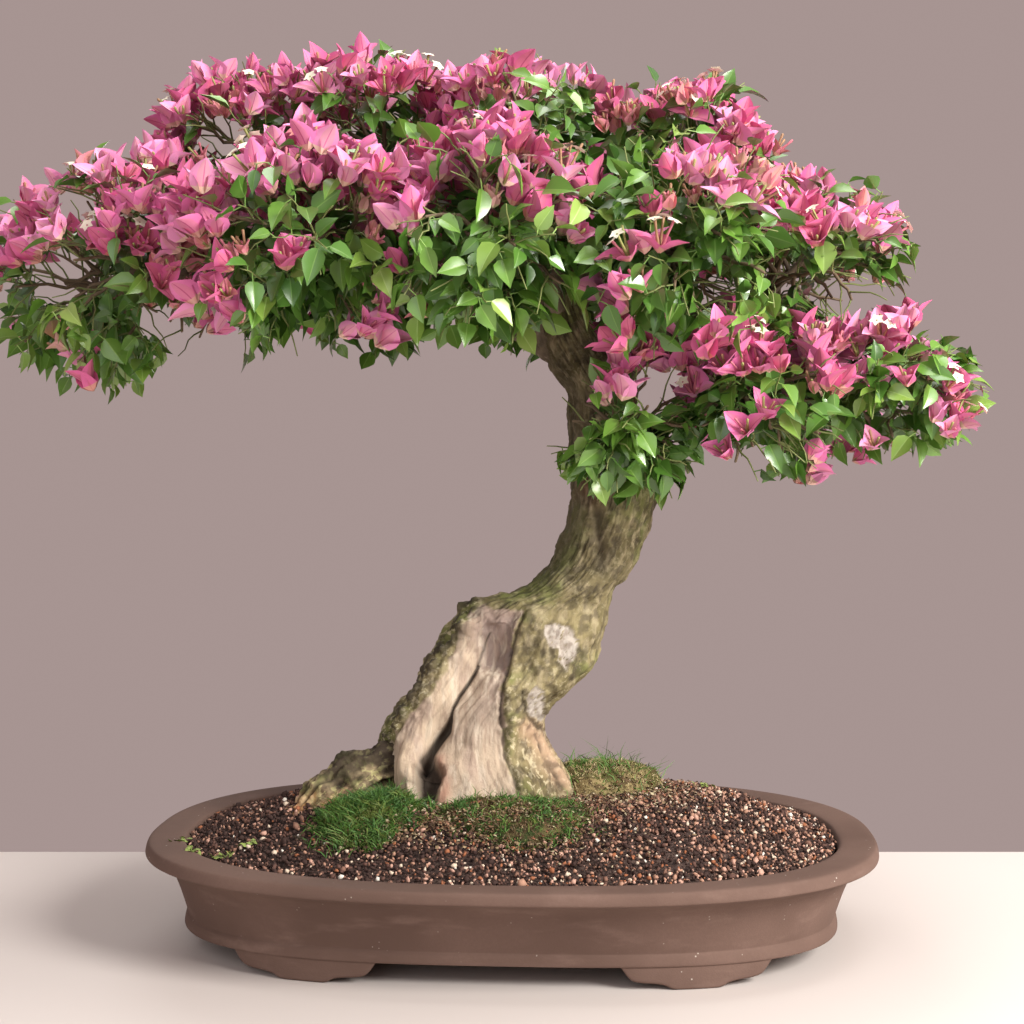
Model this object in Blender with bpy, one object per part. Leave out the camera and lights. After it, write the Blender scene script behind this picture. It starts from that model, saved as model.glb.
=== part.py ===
# Bougainvillea bonsai in an oval clay pot: pot, grit, moss, trunk, one bough for each mass of foliage.
# Metres, +Z up. Lengths are worked out about the pot's centre on the table. The root empty then moves
# everything sideways, so that the world's origin lies under the middle of the whole plant.
import math
import random

import bmesh
import bpy
from mathutils import Vector, noise
from mathutils.bvhtree import BVHTree

# Whole plant
POT_CENTRE = (0.034, -0.015, 0.0)   # the crown reaches further left and back than right and forward
GAP = 0.0003                        # clearance between touching solids
WELD = 1e-6                         # points closer than this are one

# Pot
POT_SEGMENTS = 44
RIM_HALF_LENGTH = 0.268
RIM_HALF_WIDTH = 0.1945
RIM_HEIGHT = 0.0738
RIM_SQUARENESS = 2.43               # exponent of the oval: 2 is an ellipse
BASE_SQUARENESS = 3.04
LIP_TOP_WIDTH = 0.026
LIP_BOTTOM = 0.0197                 # the lip and its rounded underside end this far below the rim
LIP_ROUND = ((0.0145, 0.0137), (0.0060, 0.0102), (0.0008, 0.0087), (0.0000, 0.0015), (0.0015, 0.0000),
             (LIP_TOP_WIDTH, 0.0008), (LIP_TOP_WIDTH + 0.0015, 0.0030))  # inset, and depth below the rim
SHOULDER_INSET = 0.021              # the wall's inset just under the lip
WALL_DRAW = 0.85                    # under 1 the wall draws in soonest under the lip, then drops steeply
BAND_INSET = 0.0375                 # the bottom band lies this far inside the rim
BAND_BOTTOM = 0.0153                # and this high, on the four feet
BAND_HEIGHT = 0.0085
BAND_RELIEF = 0.0012
END_REACH = 0.0085                  # the base draws in this much less at the pot's ends than at its sides
BAND_ROUND = 0.002
WALL = 0.009
FLOOR_TOP = 0.0253
FLOOR_ROUND = 0.003
INNER_HEIGHTS = (0.056, 0.040)      # levels between the lip and the floor inside
FOOT_SPAN = 0.102                   # length of a foot along the pot
FOOT_DEPTH = 0.026
FOOT_CENTRE = 0.131                 # each foot's middle, from the pot's middle
FOOT_INSET = 0.039                  # a foot's outer face, inside the rim
FOOT_SUNK = 0.003
# A foot's lower edge, from either end in to its tread: share of its length, and how high the edge is there
FOOT_OUTLINE = ((0.00, 1.00), (0.05, 0.52), (0.10, 0.30), (0.28, 0.24), (0.34, 0.00))
FOOT_BACK = 0.010                   # a foot's inner face runs this much behind its outer one

# Grit
GRIT_EDGE = 0.0705                  # level at the wall
GRIT_PLATEAU = 0.100                # flat bed under the trunk
PLATEAU_CENTRE = (0.000, 0.000)
PLATEAU_HALF = (0.122, 0.066)
GRIT_RINGS = 4
GRIT_HEAPS = (                      # low heaps and dips between the wall and the plateau: middle, radius, height
    ((-0.175, -0.020), 0.034, 0.0030), ((-0.150, 0.085), 0.036, 0.0028), ((-0.115, -0.105), 0.032, -0.0020),
    ((-0.045, -0.118), 0.030, 0.0026), ((0.030, -0.112), 0.028, -0.0018), ((0.105, -0.100), 0.034, 0.0030),
    ((0.172, -0.048), 0.032, -0.0022), ((0.168, 0.035), 0.040, 0.0036), ((0.095, 0.108), 0.034, -0.0020),
    ((0.010, 0.115), 0.034, 0.0028), ((-0.075, 0.112), 0.028, -0.0018),
)
MOUND_EASE = 0.85                   # under 1 the mound rises sooner from the wall
HALVINGS = 16                       # steps that find the mound's level at a place

# Trunk: height, left side, right side, half depth and front to back shift of each section
TRUNK_BASE = GRIT_PLATEAU + GAP
TRUNK_SECTIONS = (
    (0.000, -0.110, 0.052, 0.060, 0.000),
    (0.010, -0.107, 0.046, 0.055, 0.000),
    (0.023, -0.106, 0.035, 0.050, 0.001),
    (0.037, -0.101, 0.028, 0.046, 0.002),
    (0.055, -0.094, 0.027, 0.044, 0.003),
    (0.074, -0.078, 0.042, 0.043, 0.004),
    (0.094, -0.067, 0.060, 0.042, 0.006),
    (0.113, -0.055, 0.065, 0.041, 0.008),
    (0.128, -0.048, 0.068, 0.039, 0.009),
    (0.138, -0.038, 0.072, 0.036, 0.010),
    (0.144, -0.022, 0.076, 0.034, 0.011),
    (0.151, 0.004, 0.079, 0.033, 0.012),
    (0.159, 0.017, 0.084, 0.032, 0.012),
    (0.174, 0.030, 0.092, 0.031, 0.013),
    (0.190, 0.037, 0.099, 0.031, 0.014),
    (0.222, 0.045, 0.110, 0.031, 0.015),
    (0.250, 0.044, 0.108, 0.030, 0.015),
    (0.277, 0.042, 0.101, 0.028, 0.014),
    (0.300, 0.040, 0.090, 0.025, 0.013),
    (0.322, 0.029, 0.078, 0.023, 0.012),
    (0.342, 0.018, 0.066, 0.021, 0.012),
    (0.360, 0.017, 0.056, 0.018, 0.012),
    (0.384, 0.020, 0.050, 0.015, 0.012),
)
TRUNK_SEGMENTS = 24
FLARE_LOBES = 6                     # even, so that the outline's two sides lie on lobes
FLARE_DEPTH = 0.085                 # share of the radius, at the ground
FLARE_HEIGHT = 0.060
HOLLOW_DEPTH = 0.012                # the carved dead face at the front
HOLLOW_ANGLE = math.radians(256)
HOLLOW_WIDTH = math.radians(24)
HOLLOW_MIDDLE = 0.075
HOLLOW_REACH = 0.055
TRUNK_MARKS = (                     # height, degrees round, half height, half width in degrees, depth
    (0.107, 257, 0.024, 11, 0.0060),   # the grey hollow
    (0.105, 285, 0.045, 9, -0.0030),   # the live bark's rolled edge right of it
    (0.108, 226, 0.020, 9, -0.0025),   # and left of it
    (0.045, 237, 0.035, 9, -0.0030),   # the cream ridge
    (0.045, 279, 0.045, 9, -0.0030),   # the middle ridge
    (0.014, 253, 0.018, 9, 0.0120),    # the cavity at the ground
)
LUMP_SIZE = 0.0042                  # slow lumps all over the trunk, as noise
LUMP_SCALE = 24
LUMP_OFFSET = 0.7
LUMP_NOISE = (1.0, 2.0, 2)          # fall-off, step from octave to octave, octaves

# The old surface root at the left: its top, its middle and its end on the grit, with their radii
ROOT_POINTS = ((-0.085, -0.006, 0.122), (-0.118, -0.018, 0.112),
               (-0.142, -0.032, 0.094), (-0.160, -0.040, 0.076))
ROOT_RADII = (0.017, 0.019, 0.016, 0.012)

# Moss on the grit: middle, half lengths and height above the grit
MOSS = {
    "moss_left": ((-0.096, -0.078), (0.034, 0.036), 0.011),
    "moss_front": ((0.008, -0.084), (0.052, 0.030), 0.008),
    "moss_mound": ((0.068, 0.026), (0.042, 0.042), 0.016),
}
MOSS_SEGMENTS = 12
MOSS_PROFILE = ((1.00, -0.016, 0.00), (1.02, -0.004, 0.00), (0.86, 0.000, 0.55),
                (0.50, 0.000, 0.90), (0.16, 0.000, 1.00))  # share of its width, depth sunk, share of height
MOSS_WAVE = 0.09                    # its edge waves in and out three times, by this share

# Masses of foliage: middle, reach each way, what carries the bough, where along it, radius at its root,
# and the share of blossom at the twigs' ends
MASSES = {
    "left_tip": ((-0.330, 0.000, 0.484), (0.078, 0.110, 0.088), "trunk", 0.330, 0.0145, 0.45),
    "centre_top": ((0.010, 0.010, 0.584), (0.088, 0.120, 0.074), "trunk", 0.380, 0.0115, 0.90),
    "right_top": ((0.128, 0.010, 0.566), (0.084, 0.115, 0.074), "trunk", 0.352, 0.0110, 0.80),
    "outer_upper": ((0.214, -0.050, 0.494), (0.078, 0.092, 0.056), "trunk", 0.292, 0.0105, 0.50),
    "low_right": ((0.268, -0.026, 0.396), (0.076, 0.092, 0.052), "trunk", 0.252, 0.0105, 0.55),
    "low_front": ((0.088, -0.085, 0.368), (0.060, 0.060, 0.056), "trunk", 0.222, 0.0070, 0.30),
    "centre_back": ((0.010, 0.170, 0.512), (0.090, 0.084, 0.078), "trunk", 0.310, 0.0095, 0.65),
    "left_front": ((-0.262, -0.088, 0.484), (0.074, 0.092, 0.088), "left_tip", 0.60, 0.0065, 0.65),
    "left_back": ((-0.248, 0.092, 0.508), (0.080, 0.092, 0.080), "left_tip", 0.68, 0.0060, 0.65),
    "left_top": ((-0.195, 0.004, 0.578), (0.084, 0.096, 0.078), "left_tip", 0.46, 0.0070, 0.90),
    "midleft_front": ((-0.130, -0.148, 0.492), (0.088, 0.090, 0.076), "left_tip", 0.20, 0.0080, 0.60),
    "midleft_back": ((-0.130, 0.158, 0.512), (0.088, 0.088, 0.076), "left_tip", 0.29, 0.0075, 0.65),
    "midleft_top": ((-0.104, 0.008, 0.584), (0.086, 0.118, 0.076), "centre_top", 0.40, 0.0080, 0.90),
    "centre_front": ((-0.006, -0.165, 0.492), (0.088, 0.082, 0.076), "trunk", 0.352, 0.0080, 0.50),
    "right_front": ((0.120, -0.150, 0.488), (0.080, 0.088, 0.078), "right_top", 0.36, 0.0070, 0.50),
    "right_back": ((0.124, 0.152, 0.508), (0.084, 0.088, 0.076), "right_top", 0.56, 0.0065, 0.65),
    "outer_back": ((0.216, 0.096, 0.498), (0.076, 0.088, 0.062), "outer_upper", 0.45, 0.0060, 0.65),
    "low_middle": ((0.176, -0.080, 0.388), (0.066, 0.080, 0.060), "low_right", 0.40, 0.0060, 0.35),
    "low_back": ((0.205, 0.080, 0.394), (0.080, 0.084, 0.056), "low_right", 0.50, 0.0060, 0.55),
}
BOUGH_TIP_RADIUS = 0.0032
BOUGH_ENTRY = 0.62                  # a bough ends this share of the way out from a mass's middle
BOUGH_POINTS = 5
BOUGH_SIDES_LEVEL = 1               # six sides
BOUGH_RISE = 0.16                   # how far a bough bows upward, as a share of its length
BOUGH_ALONG = 0.45                  # how much its start follows what carries it
BOUGH_LEAVE = 0.36                  # length of its curve's first arm and of its last, as shares
BOUGH_ARRIVE = 0.30
BOUGH_SWAY = 0.030                  # how far it wanders sideways, as a share of its length
SWAY_BENDS = 2.6
BOUGH_TAPER = 0.8

# Twigs, leaves and bracts
TWIGS = 6
TWIG_REACH = 0.60                   # share of the space that a twig crosses; leaves go on from there
STEM_SHARE = 0.86                   # stem radius over the bough's tip radius
TWIG_RADIUS = 0.0024
TWIG_TIP_RADIUS = 0.0018
TWIG_BOW = 0.10
SHORTEST_TWIG = 0.014
DRAW_BACK = 0.85                    # a twig that leaves the space is shortened by this share
FIRST_TWIG = 0.45                   # share of the stem below its first twig
STEM_STRAIGHT = 0.35                # share of the stem that runs on in line with the bough
STEM_PAST_MIDDLE = 0.25
TWIG_CLEAR = 0.3                    # share of a twig's first half that isn't tested against the limbs
LEAF_PLACES = (0.42, 0.66, 0.90)    # along a twig
LEAF_TRIES = 8
MOST_PIECES = 16                    # leaves and blooms in one mass
GROWING_TRIES = 4
SIZES = (1.0, 0.85, 0.7)            # a leaf or bloom that doesn't fit is tried again, smaller
END_SUNK = 0.0008
LEAF_LENGTH = 0.058                 # over twice life size, as each stands for a small spray
LEAF_WIDTH = 0.046
LEAF_WIDEST = 0.40                  # share of the length at which a leaf is widest
LEAF_THICKNESS = 0.0022
LEAF_ROOT = 0.0006                  # how deep a leaf's root lies in its twig
LEAF_CUP = 0.06                     # how far a leaf's sides stand above its midrib, as a share of its length
LEAF_ARCH = 0.12                    # how far its tip hangs
LEAF_ALONG, LEAF_OUT, LEAF_HANG = 0.55, 0.35, 0.25  # a leaf leans along its twig, outward and down
LEAF_UP = 0.9                       # how much a leaf's face turns up
END_ALONG, END_UP = 0.5, 0.35       # the piece at a twig's end leans along the twig and up
UNDERSIDE = -0.3                    # twigs that point lower than this have half the blossom
BRACTS = 3                          # to a bloom
BRACT_LENGTH = 0.052
BRACT_TILT = math.radians(52)
NOTCH_LENGTH = 0.024                # from a bloom's heart to the notch between two bracts
NOTCH_TILT = math.radians(42)
BLOOM_ROOT = 0.0010                 # how deep a bloom's root lies in its twig
BLOOM_THICKNESS = 0.0012
SPACE_MARGIN = 0.0008
LIMB_MARGIN = 0.0022
LIMB_SEARCH = 0.05
GOLDEN_ANGLE = math.pi * (3 - math.sqrt(5))

# Edges sharper than these angles stay sharp
POT_SHARP = math.radians(35)
WOOD_SHARP = math.radians(60)

# Colour and roughness
CLAY = ((0.150, 0.113, 0.094), 0.78)
GRIT = ((0.085, 0.058, 0.052), 0.95)
MOSS_GREEN = ((0.090, 0.130, 0.030), 0.95)
BARK = ((0.170, 0.140, 0.085), 0.85)
DEAD_ROOT = ((0.330, 0.260, 0.150), 0.85)
BOUGH_BARK = ((0.150, 0.120, 0.085), 0.85)
FOLIAGE = ((0.300, 0.130, 0.130), 0.55)


def clear_scene():
    for old in list(bpy.data.objects):
        bpy.data.objects.remove(old, do_unlink=True)


def new_collection(name):
    made = bpy.data.collections.new(name)
    bpy.context.scene.collection.children.link(made)
    return made


def material(name, look):
    colour, roughness = look
    made = bpy.data.materials.new(name)
    made.use_nodes = True
    shader = made.node_tree.nodes["Principled BSDF"]
    shader.inputs["Base Color"].default_value = (*colour, 1)
    shader.inputs["Roughness"].default_value = roughness
    shader.inputs["Metallic"].default_value = 0
    made.diffuse_color = (*colour, 1)
    return made


def object_from(bm, name, collection):
    mesh = bpy.data.meshes.new(name)
    bmesh.ops.recalc_face_normals(bm, faces=bm.faces)
    bm.to_mesh(mesh)
    bm.free()
    made = bpy.data.objects.new(name, mesh)
    collection.objects.link(made)
    return made


def loft(rings, name, collection, triangles=False):
    """A closed skin through rings of equally many points, with a flat cap on the first and the last.
    With triangles for sides, a solid and its grown cutter bend along the same diagonals."""
    bm = bmesh.new()
    skins = [[bm.verts.new(point) for point in ring] for ring in rings]
    count = len(rings[0])
    for low, high in zip(skins, skins[1:]):
        for i in range(count):
            j = (i + 1) % count
            side = (low[i], low[j], high[j], high[i])
            for face in ((side[:3], (side[0], *side[2:])) if triangles else (side,)):
                bm.faces.new(face)
    bm.faces.new(skins[0])
    bm.faces.new(skins[-1])
    return object_from(bm, name, collection)


def apply_boolean(target, operation, cutter):
    """Joins or cuts target with an object, or with all of a collection, and applies the result."""
    modifier = target.modifiers.new("join", "BOOLEAN")
    modifier.operation = operation
    modifier.solver = "EXACT"
    if isinstance(cutter, bpy.types.Collection):
        modifier.operand_type = "COLLECTION"
        modifier.collection = cutter
    else:
        modifier.object = cutter
    evaluated = target.evaluated_get(bpy.context.evaluated_depsgraph_get())
    mesh = bpy.data.meshes.new_from_object(evaluated)
    target.modifiers.clear()
    old = target.data
    target.data = mesh
    bpy.data.meshes.remove(old)


def hide_cutter(cutter):
    cutter.hide_render = True
    cutter.display_type = "WIRE"


def keep_main_body(target):
    """Fills hollows that fusing sealed and drops loose scraps: only the largest shell stays.
    Returns whether each of its edges has two faces."""
    bm = bmesh.new()
    bm.from_mesh(target.data)
    bmesh.ops.remove_doubles(bm, verts=bm.verts, dist=WELD)
    bmesh.ops.dissolve_degenerate(bm, edges=bm.edges, dist=WELD)
    bmesh.ops.triangulate(bm, faces=bm.faces)
    unseen = set(bm.faces)
    shells = []
    while unseen:
        shell = {unseen.pop()}
        front = list(shell)
        while front:
            for edge in front.pop().edges:
                for face in edge.link_faces:
                    if face in unseen:
                        unseen.discard(face)
                        shell.add(face)
                        front.append(face)
        shells.append(shell)
    main = max(shells, key=len)
    extra = [face for shell in shells if shell is not main for face in shell]
    bmesh.ops.delete(bm, geom=extra, context="FACES")
    bmesh.ops.recalc_face_normals(bm, faces=bm.faces)
    closed = all(len(edge.link_faces) == 2 for edge in bm.edges)
    closed = closed and all(vert.is_manifold for vert in bm.verts)
    bm.to_mesh(target.data)
    bm.free()
    return closed


def finish(target, look_name, look, smooth_angle=None):
    target.data.materials.clear()
    target.data.materials.append(material(look_name, look))
    if smooth_angle is not None:
        target.data.shade_smooth()
        target.data.set_sharp_from_angle(angle=smooth_angle)


# Pot and grit

def oval_point(angle, half_length, half_width, squareness):
    cosine, sine = math.cos(angle), math.sin(angle)
    power = 2 / squareness
    x = half_length * math.copysign(abs(cosine) ** power, cosine)
    y = half_width * math.copysign(abs(sine) ** power, sine)
    return x, y


def below_rim(height):
    """How far down the pot a height lies: 0 at the rim, 1 at the band's underside."""
    return min(max((RIM_HEIGHT - height) / (RIM_HEIGHT - BAND_BOTTOM), 0), 1)


def pot_ring(inset, height, squareness):
    ring = []
    half_length = RIM_HALF_LENGTH - inset + END_REACH * below_rim(height)
    for i in range(POT_SEGMENTS):
        angle = 2 * math.pi * (i + 0.5) / POT_SEGMENTS
        x, y = oval_point(angle, half_length, RIM_HALF_WIDTH - inset, squareness)
        ring.append((x, y, height))
    return ring


def wall_inset(height):
    """How far the outer wall lies inside the rim at the sides, on its way from the lip in to the band."""
    top = RIM_HEIGHT - LIP_BOTTOM
    low = BAND_BOTTOM + BAND_HEIGHT
    share = min(max((top - height) / (top - low), 0), 1)
    return SHOULDER_INSET + (BAND_INSET + BAND_RELIEF - SHOULDER_INSET) * share ** WALL_DRAW


def wall_squareness(height):
    return RIM_SQUARENESS + (BASE_SQUARENESS - RIM_SQUARENESS) * below_rim(height)


def pot_profile():
    """(inset, height) from the underside up the outside, over the lip and down the inside."""
    band_top = BAND_BOTTOM + BAND_HEIGHT
    wall_top = RIM_HEIGHT - LIP_BOTTOM
    profile = [(BAND_INSET + BAND_ROUND, BAND_BOTTOM), (BAND_INSET, BAND_BOTTOM + BAND_ROUND)]
    profile += [(BAND_INSET, band_top - BAND_ROUND / 2)]
    swell = (band_top, band_top + (wall_top - band_top) * 0.4, wall_top)
    profile += [(wall_inset(height), height) for height in swell]
    profile += [(inset, RIM_HEIGHT - depth) for inset, depth in LIP_ROUND]
    profile += [(inner_inset(height), height) for height in (*INNER_HEIGHTS, FLOOR_TOP + FLOOR_ROUND)]
    profile += [(inner_inset(FLOOR_TOP) + FLOOR_ROUND, FLOOR_TOP)]
    return profile


def inner_inset(height):
    return max(LIP_ROUND[-1][0], wall_inset(height) + WALL)


def foot_rings(side_x, side_y):
    """Sections along one foot, which follows the pot's long side."""
    rings = []
    top = BAND_BOTTOM + FOOT_SUNK
    half_length = RIM_HALF_LENGTH - FOOT_INSET + END_REACH
    half_width = RIM_HALF_WIDTH - FOOT_INSET
    outline = list(FOOT_OUTLINE) + [(1 - share, level) for share, level in FOOT_OUTLINE[::-1]]
    for share, level in outline:
        x = FOOT_CENTRE + FOOT_SPAN * (share - 0.5)
        y = half_width * (1 - (x / half_length) ** BASE_SQUARENESS) ** (1 / BASE_SQUARENESS)
        low = (BAND_BOTTOM + FOOT_SUNK / 3) * level
        back = y - FOOT_DEPTH - FOOT_BACK * share
        section = [(x, y, low), (x, y, top), (x, back, top), (x, back, low)]
        rings.append([(px * side_x, py * side_y, pz) for px, py, pz in section])
    return rings


def make_pot(parts, cutters):
    rings = [pot_ring(inset, height, wall_squareness(height)) for inset, height in pot_profile()]
    pot = loft(rings, "pot", parts)
    for side_x in (-1, 1):
        for side_y in (-1, 1):
            foot = loft(foot_rings(side_x, side_y), "foot", cutters)
            apply_boolean(pot, "UNION", foot)
            bpy.data.objects.remove(foot, do_unlink=True)
    keep_main_body(pot)
    finish(pot, "clay", CLAY, POT_SHARP)


def mound_rise(share):
    """How high the mound stands, as a share, on the way from the pot's wall to the plateau."""
    return 0.5 - 0.5 * math.cos(math.pi * share ** MOUND_EASE)


def heap_rise(x, y, share):
    """What the low heaps add at a place. They fade out at the wall and on the plateau."""
    rise = 0
    for (heap_x, heap_y), radius, height in GRIT_HEAPS:
        rise += height * math.exp(-((x - heap_x) ** 2 + (y - heap_y) ** 2) / radius ** 2)
    return rise * math.sin(math.pi * share)


def grit_rings(grow):
    """The bed of grit: its flat underside, its wall inside the pot, and its mound up to the plateau."""
    bottom = FLOOR_TOP + GAP
    rings = [pot_ring(inner_inset(bottom) + GAP - grow + FLOOR_ROUND, bottom, wall_squareness(bottom))]
    for height in (bottom + FLOOR_ROUND, *INNER_HEIGHTS[::-1], GRIT_EDGE + grow):
        rings.append(pot_ring(inner_inset(height) + GAP - grow, height, wall_squareness(height)))
    wall = rings[-1]
    for ring in range(1, GRIT_RINGS + 1):
        share = ring / GRIT_RINGS
        height = GRIT_EDGE + (GRIT_PLATEAU - GRIT_EDGE) * mound_rise(share) + grow
        points = []
        for i, (x, y, _) in enumerate(wall):
            angle = 2 * math.pi * (i + 0.5) / POT_SEGMENTS
            inner_x = PLATEAU_CENTRE[0] + PLATEAU_HALF[0] * math.cos(angle)
            inner_y = PLATEAU_CENTRE[1] + PLATEAU_HALF[1] * math.sin(angle)
            across, along = x + (inner_x - x) * share, y + (inner_y - y) * share
            points.append((across, along, height + heap_rise(across, along, share)))
        rings.append(points)
    return rings


def make_grit(parts):
    grit = loft(grit_rings(0), "grit", parts, triangles=True)
    finish(grit, "grit", GRIT)


def grit_cutter(cutters):
    cutter = loft(grit_rings(GAP), "grit_cutter", cutters, triangles=True)
    hide_cutter(cutter)
    return cutter


def grit_height(x, y):
    """Level of the mound at a place, found between its wall and its plateau by halving."""
    low, high = 0.0, 1.0
    edge = RIM_HALF_LENGTH - LIP_TOP_WIDTH, RIM_HALF_WIDTH - LIP_TOP_WIDTH
    for _ in range(HALVINGS):
        share = (low + high) / 2
        across = abs(x - PLATEAU_CENTRE[0] * share) / (edge[0] + (PLATEAU_HALF[0] - edge[0]) * share)
        along = abs(y - PLATEAU_CENTRE[1] * share) / (edge[1] + (PLATEAU_HALF[1] - edge[1]) * share)
        power = RIM_SQUARENESS + (2 - RIM_SQUARENESS) * share
        if across ** power + along ** power < 1:
            low = share
        else:
            high = share
    return GRIT_EDGE + (GRIT_PLATEAU - GRIT_EDGE) * mound_rise(low) + heap_rise(x, y, low)


def make_moss(name, parts, stands_in):
    (x, y), (half_x, half_y), height = MOSS[name]
    rings = []
    turn = random.Random(name).uniform(0, math.tau)
    for scale, sunk, share in MOSS_PROFILE:
        ring = []
        for i in range(MOSS_SEGMENTS):
            angle = math.tau * i / MOSS_SEGMENTS
            wave = scale * (1 + MOSS_WAVE * math.sin(3 * angle + turn))
            px = x + half_x * wave * math.cos(angle)
            py = y + half_y * wave * math.sin(angle)
            ring.append((px, py, grit_height(px, py) + sunk + share * height))
        rings.append(ring)
    moss = loft(rings, name, parts, triangles=True)
    for cutter in stands_in:
        apply_boolean(moss, "DIFFERENCE", cutter)
    keep_main_body(moss)
    finish(moss, name, MOSS_GREEN)


# Trunk and boughs

def trunk_relief(place, height, angle):
    """How far the trunk's skin stands out at a place: slow lumps, ridges and hollows."""
    relief = LUMP_SIZE * noise.fractal([value * LUMP_SCALE + LUMP_OFFSET for value in place], *LUMP_NOISE)
    for middle, degrees, half_height, half_width, depth in TRUNK_MARKS:
        turn = (math.degrees(angle) - degrees + 180) % 360 - 180
        relief -= depth * math.exp(-((height - middle) / half_height) ** 2 - (turn / half_width) ** 2)
    return relief


def trunk_rings(grow):
    rings = []
    for height, left, right, half_depth, shift in TRUNK_SECTIONS:
        centre = (left + right) / 2
        half = (right - left) / 2
        flare = FLARE_DEPTH * max(0, 1 - height / FLARE_HEIGHT)
        window = max(0, 1 - ((height - HOLLOW_MIDDLE) / HOLLOW_REACH) ** 2)
        ring = []
        for i in range(TRUNK_SEGMENTS):
            angle = 2 * math.pi * i / TRUNK_SEGMENTS
            lobe = 1 + flare * math.cos(FLARE_LOBES * angle) - flare
            turn = (angle - HOLLOW_ANGLE + math.pi) % (2 * math.pi) - math.pi
            carved = HOLLOW_DEPTH * window * math.exp(-((turn / HOLLOW_WIDTH) ** 2))
            x = centre + half * lobe * math.cos(angle)
            y = shift + (half_depth * lobe - carved) * math.sin(angle)
            out = trunk_relief((x, y, TRUNK_BASE + height), height, angle) + grow
            ring.append((x + out * math.cos(angle), y + out * math.sin(angle), TRUNK_BASE + height))
        rings.append(ring)
    rings[-1] = [(x, y, z + grow) for x, y, z in rings[-1]]
    rings[0] = [(x, y, z - grow) for x, y, z in rings[0]]
    return rings


def trunk_line():
    """The trunk's middle line, each point with the radius that the trunk has there."""
    line = []
    for height, left, right, half_depth, shift in TRUNK_SECTIONS:
        point = Vector(((left + right) / 2, shift, TRUNK_BASE + height))
        line.append((point, max((right - left) / 2, half_depth)))
    return line


def line_at(line, share):
    """Point, radius and direction at a share of a line's points."""
    place = min(max(share, 0), 0.9999) * (len(line) - 1)
    index = int(place)
    rest = place - index
    (low, low_radius), (high, high_radius) = line[index], line[index + 1]
    return low.lerp(high, rest), low_radius + (high_radius - low_radius) * rest, (high - low).normalized()


def trunk_share(height):
    """The share along the trunk's points at a height above the ground."""
    heights = [section[0] for section in TRUNK_SECTIONS]
    for index, (low, high) in enumerate(zip(heights, heights[1:])):
        if height <= high:
            return (index + (height - low) / (high - low)) / (len(heights) - 1)
    return 1.0


def bough_line(name, lines):
    """A bough's points and radii, from inside what carries it to the edge of its mass."""
    middle, reach, parent, place, radius, _ = MASSES[name]
    middle = Vector(middle)
    share = trunk_share(place) if parent == "trunk" else place
    root, root_radius, along = line_at(lines[parent], share)
    inward = (root - middle).normalized()
    scale = math.sqrt(sum((inward[axis] / reach[axis]) ** 2 for axis in range(3)))
    tip = middle + inward * (BOUGH_ENTRY / scale)
    span = tip - root
    length = span.length
    out = (span.normalized() + BOUGH_ALONG * along).normalized()
    arrive = (middle - tip).normalized()
    lift = Vector((0, 0, BOUGH_RISE * length * (1 - abs(span.normalized().z))))
    first = root + out * length * BOUGH_LEAVE + lift / 2
    second = tip - arrive * length * BOUGH_ARRIVE + lift
    phase = random.Random(name).uniform(0, 2 * math.pi)
    side = span.cross(Vector((0, 0, 1))).normalized()
    line = []
    for i in range(BOUGH_POINTS):
        t = i / (BOUGH_POINTS - 1)
        point = root * (1 - t) ** 3 + first * 3 * t * (1 - t) ** 2
        point += second * 3 * t * t * (1 - t) + tip * t ** 3
        sway = BOUGH_SWAY * length * math.sin(SWAY_BENDS * math.pi * t + phase) * math.sin(math.pi * t)
        line.append((point + side * sway, radius + (BOUGH_TIP_RADIUS - radius) * t ** BOUGH_TAPER))
    return line


def tube(name, line, grow, collection):
    """A limb: a curve of changing radius made a mesh, with its caps welded."""
    curve = bpy.data.curves.new(name, "CURVE")
    curve.dimensions = "3D"
    curve.bevel_depth = 1.0
    curve.bevel_resolution = BOUGH_SIDES_LEVEL
    curve.use_fill_caps = True
    spline = curve.splines.new("POLY")
    spline.points.add(len(line) - 1)
    for knot, (point, radius) in zip(spline.points, line):
        knot.co = (*point, 1)
        knot.radius = radius + grow
    source = bpy.data.objects.new(name, curve)
    collection.objects.link(source)
    evaluated = source.evaluated_get(bpy.context.evaluated_depsgraph_get())
    mesh = bpy.data.meshes.new_from_object(evaluated)
    bpy.data.objects.remove(source, do_unlink=True)
    bpy.data.curves.remove(curve)
    bm = bmesh.new()
    bm.from_mesh(mesh)
    bpy.data.meshes.remove(mesh)
    bmesh.ops.remove_doubles(bm, verts=bm.verts, dist=WELD)
    return object_from(bm, name, collection)


def make_trunk(parts):
    trunk = loft(trunk_rings(0), "trunk", parts, triangles=True)
    finish(trunk, "trunk_bark", BARK, WOOD_SHARP)


def root_tube(name, grow, collection):
    line = [(Vector(point), radius) for point, radius in zip(ROOT_POINTS, ROOT_RADII)]
    return tube(name, line, grow, collection)


def make_root(parts, trunk_cutter, ground_cutter):
    root = root_tube("surface_root", 0, parts)
    apply_boolean(root, "DIFFERENCE", trunk_cutter)
    apply_boolean(root, "DIFFERENCE", ground_cutter)
    keep_main_body(root)
    finish(root, "dead_root", DEAD_ROOT, WOOD_SHARP)


def make_bough(name, lines, parts, cutters, trunk_cutter):
    bough = tube("bough_" + name, lines[name], 0, parts)
    parent = MASSES[name][2]
    if parent == "trunk":
        apply_boolean(bough, "DIFFERENCE", trunk_cutter)
    else:
        cutter = tube("bough_cutter", lines[parent], GAP, cutters)
        apply_boolean(bough, "DIFFERENCE", cutter)
        bpy.data.objects.remove(cutter, do_unlink=True)
    keep_main_body(bough)
    finish(bough, "bark_" + name, BOUGH_BARK, WOOD_SHARP)


# Foliage

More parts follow.
